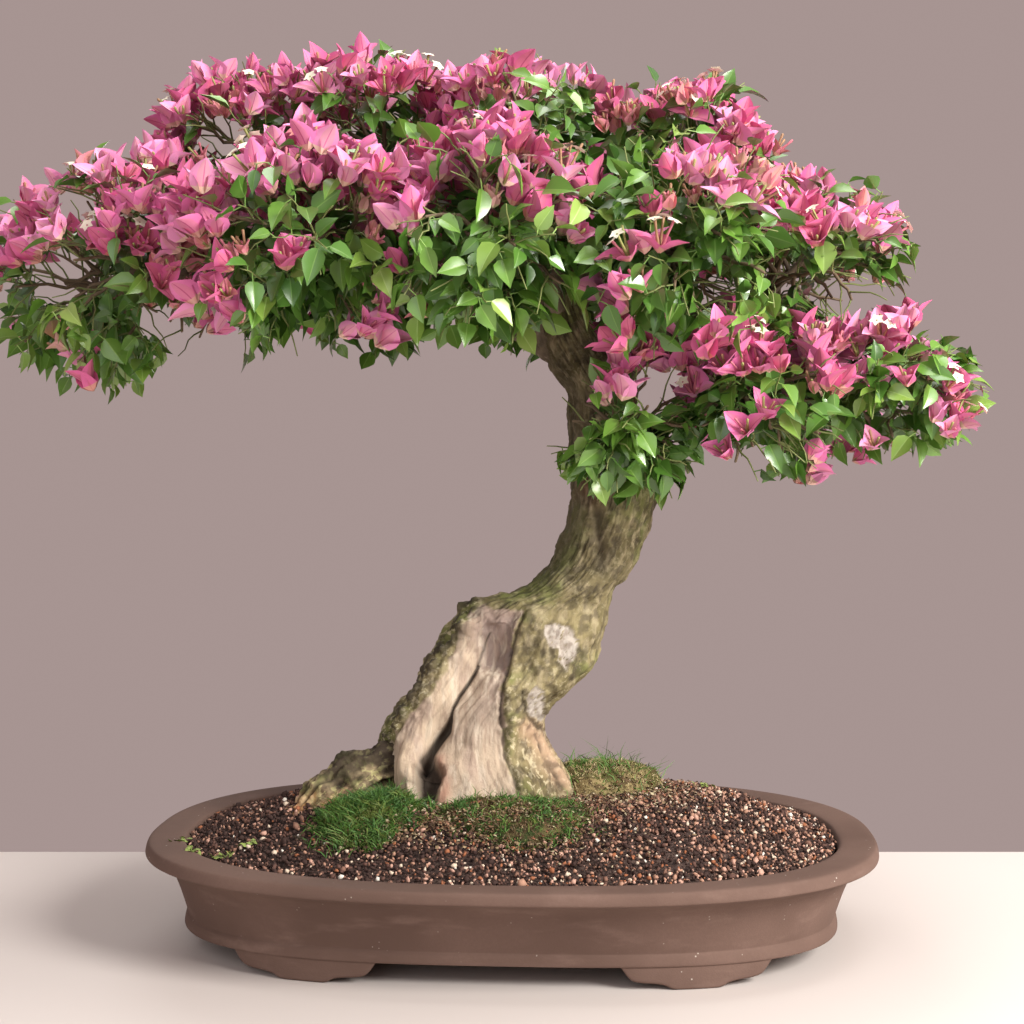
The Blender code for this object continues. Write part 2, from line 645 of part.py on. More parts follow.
def in_space(point, name):
    """A mass's own space: its reach, cut by a plane towards each neighbour in proportion to their reach."""
    middle, reach = Vector(MASSES[name][0]), MASSES[name][1]
    offset = point - middle
    if sum((offset[axis] / reach[axis]) ** 2 for axis in range(3)) > 1:
        return False
    for other, (other_middle, other_reach, *_) in MASSES.items():
        if other == name:
            continue
        between = Vector(other_middle) - middle
        distance = between.length
        axis_way = between / distance
        own = 1 / math.sqrt(sum((axis_way[axis] / reach[axis]) ** 2 for axis in range(3)))
        theirs = 1 / math.sqrt(sum((axis_way[axis] / other_reach[axis]) ** 2 for axis in range(3)))
        wall = distance * own / (own + theirs)
        if offset.dot(axis_way) > wall - SPACE_MARGIN:
            return False
    return True


def segment_gap(a, b, c, d):
    """The least distance between the segments a to b and c to d, with the share along c to d."""
    u, v, w = b - a, d - c, a - c
    uu, uv, vv, uw, vw = u.dot(u), u.dot(v), v.dot(v), u.dot(w), v.dot(w)
    spread = uu * vv - uv * uv
    s = min(max((uv * vw - vv * uw) / spread, 0), 1) if spread > 1e-14 else 0
    t = min(max((uv * s + vw) / vv, 0), 1)
    s = min(max((uv * t - uw) / uu, 0), 1)
    return (w + u * s - v * t).length, t


def touches_limb(a, b, radius, limbs):
    for line in limbs:
        for (low, low_radius), (high, high_radius) in zip(line, line[1:]):
            near = max(low_radius, high_radius) + radius + LIMB_MARGIN
            if segment_gap(a, b, low, high)[0] < near:
                return True
    return False


def near_limbs(name, lines):
    """The limbs that pass within reach of a mass."""
    middle, reach = Vector(MASSES[name][0]), max(MASSES[name][1])
    kept = []
    for line in lines.values():
        if any((point - middle).length < reach + LIMB_SEARCH for point, _ in line):
            kept.append(line)
    return kept


def even_direction(index, count, turn):
    """One of some directions spread evenly over a ball, by the golden angle."""
    z = 1 - 2 * (index + 0.5) / count
    around = index * GOLDEN_ANGLE + turn
    flat = math.sqrt(max(0, 1 - z * z))
    return Vector((flat * math.cos(around), flat * math.sin(around), z))


def leaf_shape(base, along, up, size):
    """A leaf's corners: root, two sides, tip, and its midrib above and below."""
    length, width = LEAF_LENGTH * size, LEAF_WIDTH * size
    side = along.cross(up).normalized()
    up = side.cross(along).normalized()
    middle = base + along * (LEAF_WIDEST * length)
    return (
        base - along * LEAF_ROOT,
        middle + side * (width / 2) + up * (LEAF_CUP * length),
        middle - side * (width / 2) + up * (LEAF_CUP * length),
        base + along * length - up * (LEAF_ARCH * length),
        middle + up * (LEAF_THICKNESS / 2),
        middle - up * (LEAF_THICKNESS / 2),
    )


LEAF_FACES = ((0, 4, 1), (4, 3, 1), (0, 2, 4), (2, 3, 4), (0, 1, 5), (5, 1, 3), (0, 5, 2), (5, 3, 2))


def bloom_shape(base, heart, turn, size):
    """A bloom's corners: root, heart, then its bracts' tips and the notches between them by turns."""
    side = heart.orthogonal().normalized()
    other = heart.cross(side)
    points = [base - heart * BLOOM_ROOT, base + heart * BLOOM_THICKNESS]
    for corner in range(2 * BRACTS):
        angle = turn + corner * math.pi / BRACTS
        around = side * math.cos(angle) + other * math.sin(angle)
        length, tilt = (NOTCH_LENGTH, NOTCH_TILT) if corner % 2 else (BRACT_LENGTH, BRACT_TILT)
        points.append(base + (heart * math.cos(tilt) + around * math.sin(tilt)) * length * size)
    return tuple(points)


def bloom_faces():
    faces = []
    for corner in range(2 * BRACTS):
        here, after = 2 + corner, 2 + (corner + 1) % (2 * BRACTS)
        faces += [(1, here, after), (0, after, here)]
    return tuple(faces)


def shape_fits(points, faces, name, limbs, others):
    """Whether a leaf or bloom keeps to its mass's space, clear of the limbs and of the other pieces."""
    root, outline = points[0], points[1:]
    if not all(in_space(point, name) for point in outline):
        return False
    for a, b in [(root, point) for point in outline] + list(zip(outline, outline[1:] + outline[:1])):
        if touches_limb(a, b, LEAF_THICKNESS, limbs):
            return False
    tree = BVHTree.FromPolygons(points, faces)
    return not any(tree.overlap(other) for other in others)


def tree_of(piece):
    faces = [face.vertices[:] for face in piece.data.polygons]
    return BVHTree.FromPolygons([vert.co for vert in piece.data.vertices], faces)


def add_shape(points, faces, collection):
    bm = bmesh.new()
    verts = [bm.verts.new(point) for point in points]
    for face in faces:
        bm.faces.new([verts[i] for i in face])
    return object_from(bm, "shape", collection)


def add_twig(points, radii, collection, name="twig"):
    """A three-sided twig through its points."""
    rings = []
    side = None
    for i, (point, radius) in enumerate(zip(points, radii)):
        along = (points[min(i + 1, len(points) - 1)] - points[max(i - 1, 0)]).normalized()
        side = along.orthogonal() if side is None else side - along * side.dot(along)
        side.normalize()
        other = along.cross(side)
        ring = []
        for corner in range(3):
            angle = corner * math.tau / 3
            ring.append(point + side * (radius * math.cos(angle)) + other * (radius * math.sin(angle)))
        rings.append(ring)
    return loft(rings, name, collection)


def twig_route(name, root, target):
    """A twig's bend and end, drawn back towards its root until both keep to the mass's space."""
    while True:
        bend = (root + target) / 2 + Vector((0, 0, TWIG_BOW * (target - root).length))
        if in_space(target, name) and in_space(bend, name):
            return bend, target
        target = root.lerp(target, DRAW_BACK)
        if (target - root).length < SHORTEST_TWIG:
            return None


def grow_twigs(name, lines, limbs, loose, attempt):
    """The stem and the twigs of one mass: returns the stem, each twig's points and tree, and the turn."""
    middle, reach = Vector(MASSES[name][0]), MASSES[name][1]
    turn = random.Random("twigs %s %d" % (name, attempt)).uniform(0, math.tau)
    (before, _), (tip, tip_radius) = lines[name][-2], lines[name][-1]
    out = (tip - before).normalized()
    start = tip + out * GAP
    end = middle + (middle - tip) * STEM_PAST_MIDDLE
    stem_points = [start, start + out * (STEM_STRAIGHT * (end - start).length), end]
    stem_radius = tip_radius * STEM_SHARE
    stem_radii = [stem_radius, 0.95 * stem_radius, TWIG_RADIUS]
    stem = add_twig(stem_points, stem_radii, loose, "stem")
    stem_line = list(zip(stem_points, stem_radii))
    twigs = []
    for index in range(TWIGS):
        toward = even_direction(index, TWIGS, turn)
        target = middle + Vector([toward[axis] * reach[axis] * TWIG_REACH for axis in range(3)])
        root, root_radius, _ = line_at(stem_line, FIRST_TWIG + (1 - FIRST_TWIG) * (index + 0.5) / TWIGS)
        route = twig_route(name, root, target)
        if route is None:
            continue
        bend, target = route
        clear = root.lerp(bend, TWIG_CLEAR)
        if touches_limb(clear, bend, TWIG_RADIUS, limbs) or touches_limb(bend, target, TWIG_RADIUS, limbs):
            continue
        radii = [min(TWIG_RADIUS, root_radius * 0.9), TWIG_RADIUS * 0.85, TWIG_TIP_RADIUS]
        solid = add_twig([root, bend, target], radii, loose)
        twigs.append(((root, bend, target), tree_of(solid)))
    return stem, twigs, turn


def grow_mass(name, lines, loose, attempt):
    """Twigs, leaves and blooms of one mass, loose: returns the stem that they all join, and a count."""
    middle, blossom = Vector(MASSES[name][0]), MASSES[name][5]
    dice = random.Random("blossom " + name)
    limbs = near_limbs(name, lines)
    stem, twigs, turn = grow_twigs(name, lines, limbs, loose, attempt)
    kept = []                       # the tree of each leaf and bloom so far

    def place(shapes, faces, index):
        """Keeps the first of some shapes that fits on a twig, largest first."""
        if len(kept) == MOST_PIECES:
            return False
        others = kept + [tree for number, (_, tree) in enumerate(twigs) if number != index]
        for points in shapes:
            if shape_fits(points, faces, name, limbs, others):
                kept.append(tree_of(add_shape(points, faces, loose)))
                return True
        return False

    for index, ((root, bend, target), _) in enumerate(twigs):
        along = (target - bend).normalized()
        outward = (target - middle).normalized()
        up = (outward + Vector((0, 0, LEAF_UP))).normalized()
        heart = (along * END_ALONG + outward + Vector((0, 0, END_UP))).normalized()
        end = target - along * END_SUNK
        chance = blossom if outward.z > UNDERSIDE else blossom / 2
        if dice.random() < chance:
            place([bloom_shape(end, heart, index, size) for size in SIZES], bloom_faces(), index)
        else:
            place([leaf_shape(end, heart, up, size) for size in SIZES], LEAF_FACES, index)
        for number, share in enumerate(LEAF_PLACES):
            base = line_at([(root, 0), (bend, 0), (target, 0)], share)[0]
            side = along.orthogonal().normalized()
            for step in range(LEAF_TRIES):
                spin = (index * 2 + number) * GOLDEN_ANGLE + turn + step * math.tau / LEAF_TRIES
                around = side * math.cos(spin) + along.cross(side) * math.sin(spin)
                way = LEAF_ALONG * along + around + LEAF_OUT * outward - Vector((0, 0, LEAF_HANG))
                shapes = [leaf_shape(base, way.normalized(), up, size) for size in SIZES]
                if place(shapes, LEAF_FACES, index):
                    break
    return stem, len(kept)


def make_mass(name, lines, parts):
    """One mass: its stem with all its twigs, leaves and blooms fused on; grown anew where fusing fails."""
    for attempt in range(GROWING_TRIES):
        loose = new_collection("loose_" + name)
        stem, count = grow_mass(name, lines, loose, attempt)
        loose.objects.unlink(stem)
        parts.objects.link(stem)
        stem.name = "foliage_" + name
        apply_boolean(stem, "UNION", loose)
        for piece in list(loose.objects):
            bpy.data.objects.remove(piece, do_unlink=True)
        bpy.data.collections.remove(loose)
        if keep_main_body(stem):
            break
        if attempt < GROWING_TRIES - 1:
            bpy.data.objects.remove(stem, do_unlink=True)
    finish(stem, "foliage_" + name, FOLIAGE)
    print("mass", name, "leaves and blooms", count, "attempt", attempt, "triangles", len(stem.data.polygons))


def main():
    clear_scene()
    parts = new_collection("bougainvillea_bonsai")
    cutters = new_collection("cutters")
    ground_cutter = grit_cutter(cutters)
    trunk_cutter = loft(trunk_rings(GAP), "trunk_cutter", cutters, triangles=True)
    hide_cutter(trunk_cutter)
    make_pot(parts, cutters)
    make_grit(parts)
    make_trunk(parts)
    make_root(parts, trunk_cutter, ground_cutter)
    root_cutter = root_tube("root_cutter", GAP, cutters)
    hide_cutter(root_cutter)
    for name in MOSS:
        make_moss(name, parts, (ground_cutter, trunk_cutter, root_cutter))
    lines = {"trunk": trunk_line()}
    for name in MASSES:
        lines[name] = bough_line(name, lines)
    for name in MASSES:
        make_bough(name, lines, parts, cutters, trunk_cutter)
    for name in MASSES:
        make_mass(name, lines, parts)
    plant = bpy.data.objects.new("bonsai", None)
    plant.location = POT_CENTRE
    bpy.context.scene.collection.objects.link(plant)
    for piece in parts.objects:
        piece.parent = plant


main()
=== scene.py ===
# Bougainvillea bonsai dressed around its frame: clay pot, grit, moss, old wood, bark, leaves and blossom.
# Metres. Every piece is worked out about the pot's centre on the table and then set over the framed pot.
import math
import random

import bpy
import numpy as np
from mathutils import Matrix, Vector, noise


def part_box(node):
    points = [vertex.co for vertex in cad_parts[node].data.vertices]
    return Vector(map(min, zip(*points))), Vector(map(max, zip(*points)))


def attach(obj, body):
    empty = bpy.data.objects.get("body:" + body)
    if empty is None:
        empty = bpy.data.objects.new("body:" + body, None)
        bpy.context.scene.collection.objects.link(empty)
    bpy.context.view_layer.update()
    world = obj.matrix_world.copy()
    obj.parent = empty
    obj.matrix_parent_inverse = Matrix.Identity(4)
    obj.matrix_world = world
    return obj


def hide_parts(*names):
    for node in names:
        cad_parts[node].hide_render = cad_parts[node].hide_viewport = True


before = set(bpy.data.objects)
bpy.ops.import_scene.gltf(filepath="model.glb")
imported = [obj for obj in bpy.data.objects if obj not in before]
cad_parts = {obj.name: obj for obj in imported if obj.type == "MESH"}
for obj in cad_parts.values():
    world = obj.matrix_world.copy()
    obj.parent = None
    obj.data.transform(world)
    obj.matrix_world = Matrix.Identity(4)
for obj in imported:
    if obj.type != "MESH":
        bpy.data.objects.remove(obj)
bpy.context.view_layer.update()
potLow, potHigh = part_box("pot")
potPlace = np.array(((potLow.x + potHigh.x) / 2, (potLow.y + potHigh.y) / 2, 0.0))
goldenAngle = math.pi * (3 - math.sqrt(5))
print("frame loaded:", len(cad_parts), "nodes")


# Small tools for numbers

def ease(low, high, value):          # 0 below low, 1 above high, smooth between
    share = np.clip((value - low) / (high - low), 0, 1)
    return share * share * (3 - 2 * share)


def unit(vectors):
    return vectors / np.maximum(np.linalg.norm(vectors, axis=-1, keepdims=True), 1e-9)


def noiseAt(points, scale, offset, octaves=2):
    places = np.asarray(points) * np.asarray(scale) + offset
    return np.array([noise.fractal(place, 1.0, 2.0, octaves) for place in places.tolist()])


# The summed height of several noises at places, each given as scale, offset, octaves and height
def reliefOf(points, layers):
    return sum(noiseAt(points, scale, offset, octaves) * height for scale, offset, octaves, height in layers)


def lineDistance(x, z, line):        # distance to a line of points in the front view, and the share along it
    nearest = np.full(len(x), 9.0)
    share = np.zeros(len(x))
    count = len(line) - 1
    for index, ((ax, az), (bx, bz)) in enumerate(zip(line, line[1:])):
        dx, dz = bx - ax, bz - az
        along = np.clip(((x - ax) * dx + (z - az) * dz) / (dx * dx + dz * dz), 0, 1)
        distance = np.hypot(x - ax - along * dx, z - az - along * dz)
        closer = distance < nearest
        nearest = np.where(closer, distance, nearest)
        share = np.where(closer, (index + along) / count, share)
    return nearest, share


def insideDistance(x, z, outline):   # distance to a closed outline, above zero inside it
    closed = (*outline, outline[0])
    nearest, _ = lineDistance(x, z, closed)
    inside = np.zeros(len(x), bool)
    for (ax, az), (bx, bz) in zip(closed, closed[1:]):
        if az != bz:
            crosses = ((az > z) != (bz > z)) & (x < (bx - ax) * (z - az) / (bz - az) + ax)
            inside ^= crosses
    return np.where(inside, nearest, -nearest)


def cutCorners(points, times):       # rounds the corners of an open line of points
    points = np.asarray(points, float)
    for _ in range(times):
        low, high = points[:-1], points[1:]
        cut = np.stack((low * 0.75 + high * 0.25, low * 0.25 + high * 0.75), axis=1)
        points = np.vstack((points[:1], cut.reshape(-1, points.shape[1])[1:-1], points[-1:]))
    return points


def between(limits, share):          # the value at a share of the way from the first limit to the second
    return limits[0] + (limits[1] - limits[0]) * share


def acrossOf(ways):                  # two directions across each of many directions
    side = unit(np.cross(ways, np.eye(3)[np.argmin(np.abs(ways), axis=1)]))
    return side, np.cross(ways, side)


def turned(first, second, angle):    # directions turned from the first towards the second by each angle
    return first * np.cos(angle)[:, None] + second * np.sin(angle)[:, None]


def pickByShare(dice, shares, count):
    shares = np.array(shares)
    return dice.choice(len(shares), count, p=shares / shares.sum())


# Small tools for meshes

def gridFaces(rows, columns, closed=True):
    row = np.arange(rows - 1)[:, None] * columns
    column = np.arange(columns if closed else columns - 1)[None, :]
    after = (column + 1) % columns
    quads = np.stack((row + column, row + after, row + columns + after, row + columns + column), axis=-1)
    return quads.reshape(-1, 4)


def fanFaces(firstCorner, count, centre, flip=False):
    corner = firstCorner + np.arange(count)
    after = firstCorner + (np.arange(count) + 1) % count
    order = (after, corner) if flip else (corner, after)
    return np.stack((*order, np.full(count, centre)), axis=-1)


# The same faces for each of many like shapes of some points each
def repeatFaces(faces, shapes, pointsEach):
    moved = np.asarray(faces)[None] + (np.arange(shapes) * pointsEach)[:, None, None]
    return moved.reshape(-1, moved.shape[-1])


# A skin of rings closed by a fan at each end: its points with the two ends, and its groups of faces
def closedSkin(points, columns, start, end):
    rows = len(points) // columns
    corners = rows * columns
    groups = [(gridFaces(rows, columns), 0), (fanFaces(0, columns, corners, flip=True), 0),
              (fanFaces(corners - columns, columns, corners + 1), 0)]
    return np.vstack((points, start, end)), groups


# One piece from points about the pot's centre and groups of faces with equally many corners.
# A group is (faces, number of its look), or one number for each face.
def addPiece(name, points, groups, looks, nodes, smooth=True):
    groups = [(np.asarray(faces), number) for faces, number in groups if len(faces)]
    corners = np.concatenate([faces.ravel() for faces, _ in groups])
    sizes = np.concatenate([np.full(len(faces), faces.shape[1]) for faces, _ in groups])
    numbers = np.concatenate([np.broadcast_to(number, len(faces)) for faces, number in groups])
    mesh = bpy.data.meshes.new(name)
    mesh.vertices.add(len(points))
    mesh.vertices.foreach_set("co", (points + potPlace).astype(np.float32).ravel())
    mesh.loops.add(len(corners))
    mesh.loops.foreach_set("vertex_index", corners.astype(np.int32))
    mesh.polygons.add(len(sizes))
    mesh.polygons.foreach_set("loop_start", np.concatenate(((0,), np.cumsum(sizes)[:-1])).astype(np.int32))
    mesh.polygons.foreach_set("material_index", numbers.astype(np.int32))
    mesh.update(calc_edges=True)
    if smooth:
        mesh.shade_smooth()
    for look in looks:
        mesh.materials.append(look)
    piece = bpy.data.objects.new(name, mesh)
    bpy.context.scene.collection.objects.link(piece)
    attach(piece, "root")
    if nodes:
        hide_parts(*nodes)
    print("piece", name, "triangles", int((sizes - 2).sum()))
    return piece


# Up to three numbers from 0 to 1 for each point, for the finish to read. The ends of a skin get 0.
def addPointColour(piece, name, *channels):
    layer = piece.data.attributes.new(name, "FLOAT_COLOR", "POINT")
    values = np.zeros((len(piece.data.vertices), 4), np.float32)
    values[:, 3] = 1
    values[:len(channels[0]), :len(channels)] = np.clip(np.stack(channels, axis=-1), 0, 1)
    layer.data.foreach_set("color", values.ravel())


# Points of many like tubes at once, round their centres (tubes, points, 3), each closed to a point at its end
def tubePoints(centres, radii, sides):
    along = unit(np.gradient(centres, axis=1))
    reference = np.eye(3)[np.argmin(np.abs(along[:, 0]), axis=-1)][:, None, :]
    side = unit(reference - along * (reference * along).sum(-1, keepdims=True))
    other = np.cross(along, side)
    angle = np.arange(sides) * math.tau / sides
    around = np.cos(angle)[:, None] * side[:, :, None, :] + np.sin(angle)[:, None] * other[:, :, None, :]
    skin = centres[:, :, None, :] + radii[:, :, None, None] * around
    tip = centres[:, -1:] + along[:, -1:] * radii[:, -1:, None]
    return np.concatenate((skin.reshape(len(centres), -1, 3), tip), axis=1)


def tubeFaces(tubes, rows, sides):
    pointsEach = rows * sides + 1
    quads = repeatFaces(gridFaces(rows, sides), tubes, pointsEach)
    tips = repeatFaces(fanFaces((rows - 1) * sides, sides, rows * sides), tubes, pointsEach)
    return quads, tips


# Points of many blades of one kind: a root, rows of points across, and a tip. Each of the kind's rows is
# (share of the length, half width as a share), each of its columns a share of the half width. The sides
# stand up by its cup, the edges wave by its ripple, and the tip sinks by arch.
def bladePoints(kind, base, along, up, length, width, arch, phase):
    alongWaves, acrossWaves = 9, 2
    side = unit(np.cross(along, up))
    up = np.cross(side, along)
    made = [base]
    for share, half in (*kind["rows"], (1.0, 0.0)):
        for column in kind["columns"] if half else (0.0,):
            across = column * half * width / 2
            lift = kind["cup"] * abs(column) ** 2 * half * width / 2 - arch * share ** 2 * length
            wave = np.sin(phase + share * alongWaves + acrossWaves * column)
            lift = lift + kind["ripple"] * abs(column) * half * wave * width
            place = base + along * (share * length)[:, None]
            made.append(place + side * across[:, None] + up * lift[:, None])
    return np.stack(made, axis=1)


# Faces of one blade as two groups (faces, their parts): its quads and its triangles. The parts are 0 near the
# root, 1 in the middle strip, 3 in the outer strips and at the tip, and 2 else.
def bladeFaces(kind, rootRows):
    rows, columns = len(kind["rows"]), len(kind["columns"])
    middle, outer = columns // 2 - 1, (0, columns - 2)

    def partOf(row, column):
        if row < rootRows:
            return 0
        if column == middle:
            return 1
        return 3 if column in outer else 2

    triangles, quads, triangleParts, quadParts = [], [], [], []
    last = 1 + (rows - 1) * columns
    for column in range(columns - 1):
        triangles.append((0, 2 + column, 1 + column))
        triangleParts.append(partOf(0, column))
        for row in range(rows - 1):
            corner = 1 + row * columns + column
            quads.append((corner, corner + 1, corner + columns + 1, corner + columns))
            quadParts.append(partOf(row + 1, column))
        triangles.append((last + column, last + column + 1, last + columns))
        triangleParts.append(3)
    return (np.array(quads), np.array(quadParts)), (np.array(triangles), np.array(triangleParts))


# Finishes

def plainLook(name, colour, roughness=0.5, **sockets):
    look = bpy.data.materials.new(name)
    look.use_nodes = True
    shader = look.node_tree.nodes["Principled BSDF"]
    shader.inputs["Base Color"].default_value = (*colour, 1)
    shader.inputs["Roughness"].default_value = roughness
    for socket, value in sockets.items():
        shader.inputs[socket.replace("_", " ")].default_value = value
    return look


def toneLooks(title, tones, roughness, **sockets):
    return [plainLook(title + str(number), tone, roughness, **sockets) for number, tone in enumerate(tones)]


# A finish built from nodes: its methods add one node each and return the node's output
class NodeLook:
    def __init__(self, name, roughness, **sockets):
        self.look = plainLook(name, (0.5, 0.5, 0.5), roughness, **sockets)
        self.tree = self.look.node_tree
        self.shader = self.tree.nodes["Principled BSDF"]
        self.place = self.tree.nodes.new("ShaderNodeTexCoord").outputs["Object"]

    def feed(self, socket, source):
        if isinstance(source, bpy.types.NodeSocket):
            self.tree.links.new(source, socket)
        elif isinstance(source, tuple) and len(socket.default_value) == 4:
            socket.default_value = (*source, 1)
        else:
            socket.default_value = source

    def noise(self, scale, detail=3.0, stretch=(1, 1, 1), rough=0.55):
        mapping = self.tree.nodes.new("ShaderNodeMapping")
        self.feed(mapping.inputs["Vector"], self.place)
        mapping.inputs["Scale"].default_value = stretch
        made = self.tree.nodes.new("ShaderNodeTexNoise")
        self.feed(made.inputs["Vector"], mapping.outputs["Vector"])
        made.inputs["Scale"].default_value = scale
        made.inputs["Detail"].default_value = detail
        made.inputs["Roughness"].default_value = rough
        return made.outputs["Fac"]

    def cells(self, scale, output="Distance"):
        made = self.tree.nodes.new("ShaderNodeTexVoronoi")
        self.feed(made.inputs["Vector"], self.place)
        made.inputs["Scale"].default_value = scale
        return made.outputs[output]

    def spread(self, source, low, high, bottom=0.0, top=1.0):
        made = self.tree.nodes.new("ShaderNodeMapRange")
        made.interpolation_type = "SMOOTHSTEP"
        for socket, value in zip(made.inputs[:5], (source, low, high, bottom, top)):
            self.feed(socket, value)
        return made.outputs["Result"]

    def times(self, first, second):
        made = self.tree.nodes.new("ShaderNodeMath")
        made.operation = "MULTIPLY"
        made.use_clamp = True
        self.feed(made.inputs[0], first)
        self.feed(made.inputs[1], second)
        return made.outputs["Value"]

    def mix(self, share, first, second):
        made = self.tree.nodes.new("ShaderNodeMix")
        made.data_type = "RGBA"
        self.feed(made.inputs["Factor"], share)
        self.feed(made.inputs[6], first)
        self.feed(made.inputs[7], second)
        return made.outputs[2]

    # Another colour in patches, where a noise lies past its two limits, covering at most a share
    def patches(self, colour, other, scale, detail, low, high, most=1.0, stretch=(1, 1, 1)):
        return self.mix(self.spread(self.noise(scale, detail, stretch), low, high, 0, most), colour, other)

    def channels(self, layer):
        source = self.tree.nodes.new("ShaderNodeAttribute")
        source.attribute_name = layer
        made = self.tree.nodes.new("ShaderNodeSeparateColor")
        self.feed(made.inputs["Color"], source.outputs["Color"])
        return made.outputs["Red"], made.outputs["Green"], made.outputs["Blue"]

    def bump(self, source, distance, strength=1.0):
        made = self.tree.nodes.new("ShaderNodeBump")
        self.feed(made.inputs["Height"], source)
        made.inputs["Distance"].default_value = distance
        made.inputs["Strength"].default_value = strength
        self.feed(self.shader.inputs["Normal"], made.outputs["Normal"])

    def finish(self, colour, roughness=None):
        self.feed(self.shader.inputs["Base Color"], colour)
        if roughness is not None:
            self.feed(self.shader.inputs["Roughness"], roughness)
        return self.look


# Pot: a lofted oval of unglazed clay on four cloud feet

pot = dict(
    segments=256,
    halfLength=0.268, halfWidth=0.1945, rim=0.0738,
    rimSquareness=2.43, baseSquareness=3.04,
    lipWidth=0.026, lipBottom=0.0197,
    lip=(                            # inset and depth below the rim, from the outside over to the inside
        (0.0145, 0.0137), (0.0060, 0.0102), (0.0010, 0.0090), (0.0000, 0.0072), (0.0000, 0.0016),
        (0.0016, 0.0000), (0.0130, 0.0004), (0.0250, 0.0008), (0.0275, 0.0030),
    ),
    shoulderInset=0.021, draw=0.85, wall=0.009, endReach=0.0085,
    bandInset=0.0375, bandBottom=0.0153, bandHeight=0.0085, bandRelief=0.0012, bandRound=0.0012,
    undersideInset=0.0875, floor=0.0253, floorCorner=0.003, insideLevels=(0.062, 0.050, 0.040, 0.032, 0.0273),
    wallRows=14, waver=0.0004, sharpFrom=math.radians(40),
    clay=(0.164, 0.105, 0.084), clayDark=(0.120, 0.075, 0.059), clayWarm=(0.208, 0.138, 0.112),
    speck=(0.55, 0.50, 0.44),
)
foot = dict(
    span=0.102, centre=0.131, depth=0.026, back=0.010, inset=0.039, sunk=0.003, edge=0.0022, cornerSteps=5,
    outline=((0.00, 1.00), (0.05, 0.52), (0.10, 0.30), (0.28, 0.24), (0.34, 0.00), (0.42, 0.00), (0.50, 0.0)),
    sharpFrom=math.radians(50),
)


def belowRim(height):                # 0 at the rim, 1 at the band's underside
    return np.clip((pot["rim"] - height) / (pot["rim"] - pot["bandBottom"]), 0, 1)


def ringAngles():
    return math.tau * (np.arange(pot["segments"]) + 0.5) / pot["segments"]


def ovalRing(inset, height):         # a level ring of points round the pot
    angle, down = ringAngles(), belowRim(height)
    power = 2 / between((pot["rimSquareness"], pot["baseSquareness"]), down)
    halfLength = pot["halfLength"] - inset + pot["endReach"] * down
    x = halfLength * np.sign(np.cos(angle)) * np.abs(np.cos(angle)) ** power
    y = (pot["halfWidth"] - inset) * np.sign(np.sin(angle)) * np.abs(np.sin(angle)) ** power
    return np.stack((x, y, np.full(len(x), height)), axis=-1)


def wallInset(height):
    top = pot["rim"] - pot["lipBottom"]
    low = pot["bandBottom"] + pot["bandHeight"]
    share = np.clip((top - height) / (top - low), 0, 1)
    return between((pot["shoulderInset"], pot["bandInset"] + pot["bandRelief"]), share ** pot["draw"])


def innerInset(height):
    return np.maximum(pot["lip"][-1][0], wallInset(height) + pot["wall"])


def potProfile():                    # (inset, height) up the outside, over the lip and down the inside
    inset, bottom, radius = pot["bandInset"], pot["bandBottom"], pot["bandRound"]
    bandTop, wallTop = bottom + pot["bandHeight"], pot["rim"] - pot["lipBottom"]
    wallLevels = np.linspace(bandTop + radius / 2, wallTop, pot["wallRows"])
    profile = [(pot["undersideInset"], bottom), (inset + radius, bottom), (inset, bottom + radius),
               (inset, bandTop - radius), (inset + radius / 2, bandTop)]
    profile += [(wallInset(height), height) for height in wallLevels]
    profile += [(lipInset, pot["rim"] - depth) for lipInset, depth in pot["lip"]]
    profile += [(innerInset(height), height) for height in pot["insideLevels"]]
    profile.append((innerInset(pot["floor"]) + pot["floorCorner"], pot["floor"]))
    return cutCorners(profile, 2)


def footRings(sideX, sideY):
    rings = []
    top = pot["bandBottom"] + foot["sunk"]
    halfLength = pot["halfLength"] - foot["inset"] + pot["endReach"]
    halfWidth = pot["halfWidth"] - foot["inset"]
    power = pot["baseSquareness"]
    corner = np.linspace(0, math.pi / 2, foot["cornerSteps"])
    half = cutCorners(foot["outline"], 3)
    mirrored = np.column_stack((1 - half[::-1, 0], half[::-1, 1]))[1:]
    for share, level in np.vstack((half, mirrored)):
        x = foot["centre"] + foot["span"] * (share - 0.5)
        y = halfWidth * (1 - (x / halfLength) ** power) ** (1 / power)
        low = (pot["bandBottom"] + foot["sunk"] / 3) * level
        back = y - foot["depth"] - foot["back"] * share
        radius = min(foot["edge"], (top - low) / 2.5)
        over, down = radius * np.cos(corner), radius * np.sin(corner)
        depths = (*(y - radius + over), *(back + radius - down), back, y)
        heights = (*(low + radius - down), *(low + radius - over), top, top)
        rings.append([(x * sideX, depth * sideY, height) for depth, height in zip(depths, heights)])
    return np.array(rings)


def makeFeet(look):
    points, groups = np.zeros((0, 3)), []
    for sideX, sideY in ((-1, -1), (-1, 1), (1, -1), (1, 1)):
        rings = footRings(sideX, sideY)
        made, parts = closedSkin(rings.reshape(-1, 3), rings.shape[1], rings[0].mean(0), rings[-1].mean(0))
        order = -1 if sideX * sideY > 0 else 1       # mirrored once or not at all: turn the faces to look out
        groups += [(faces[:, ::order] + len(points), number) for faces, number in parts]
        points = np.vstack((points, made))
    feet = addPiece("potFeet", points, groups, [look], ["pot"])
    feet.data.set_sharp_from_angle(angle=foot["sharpFrom"])


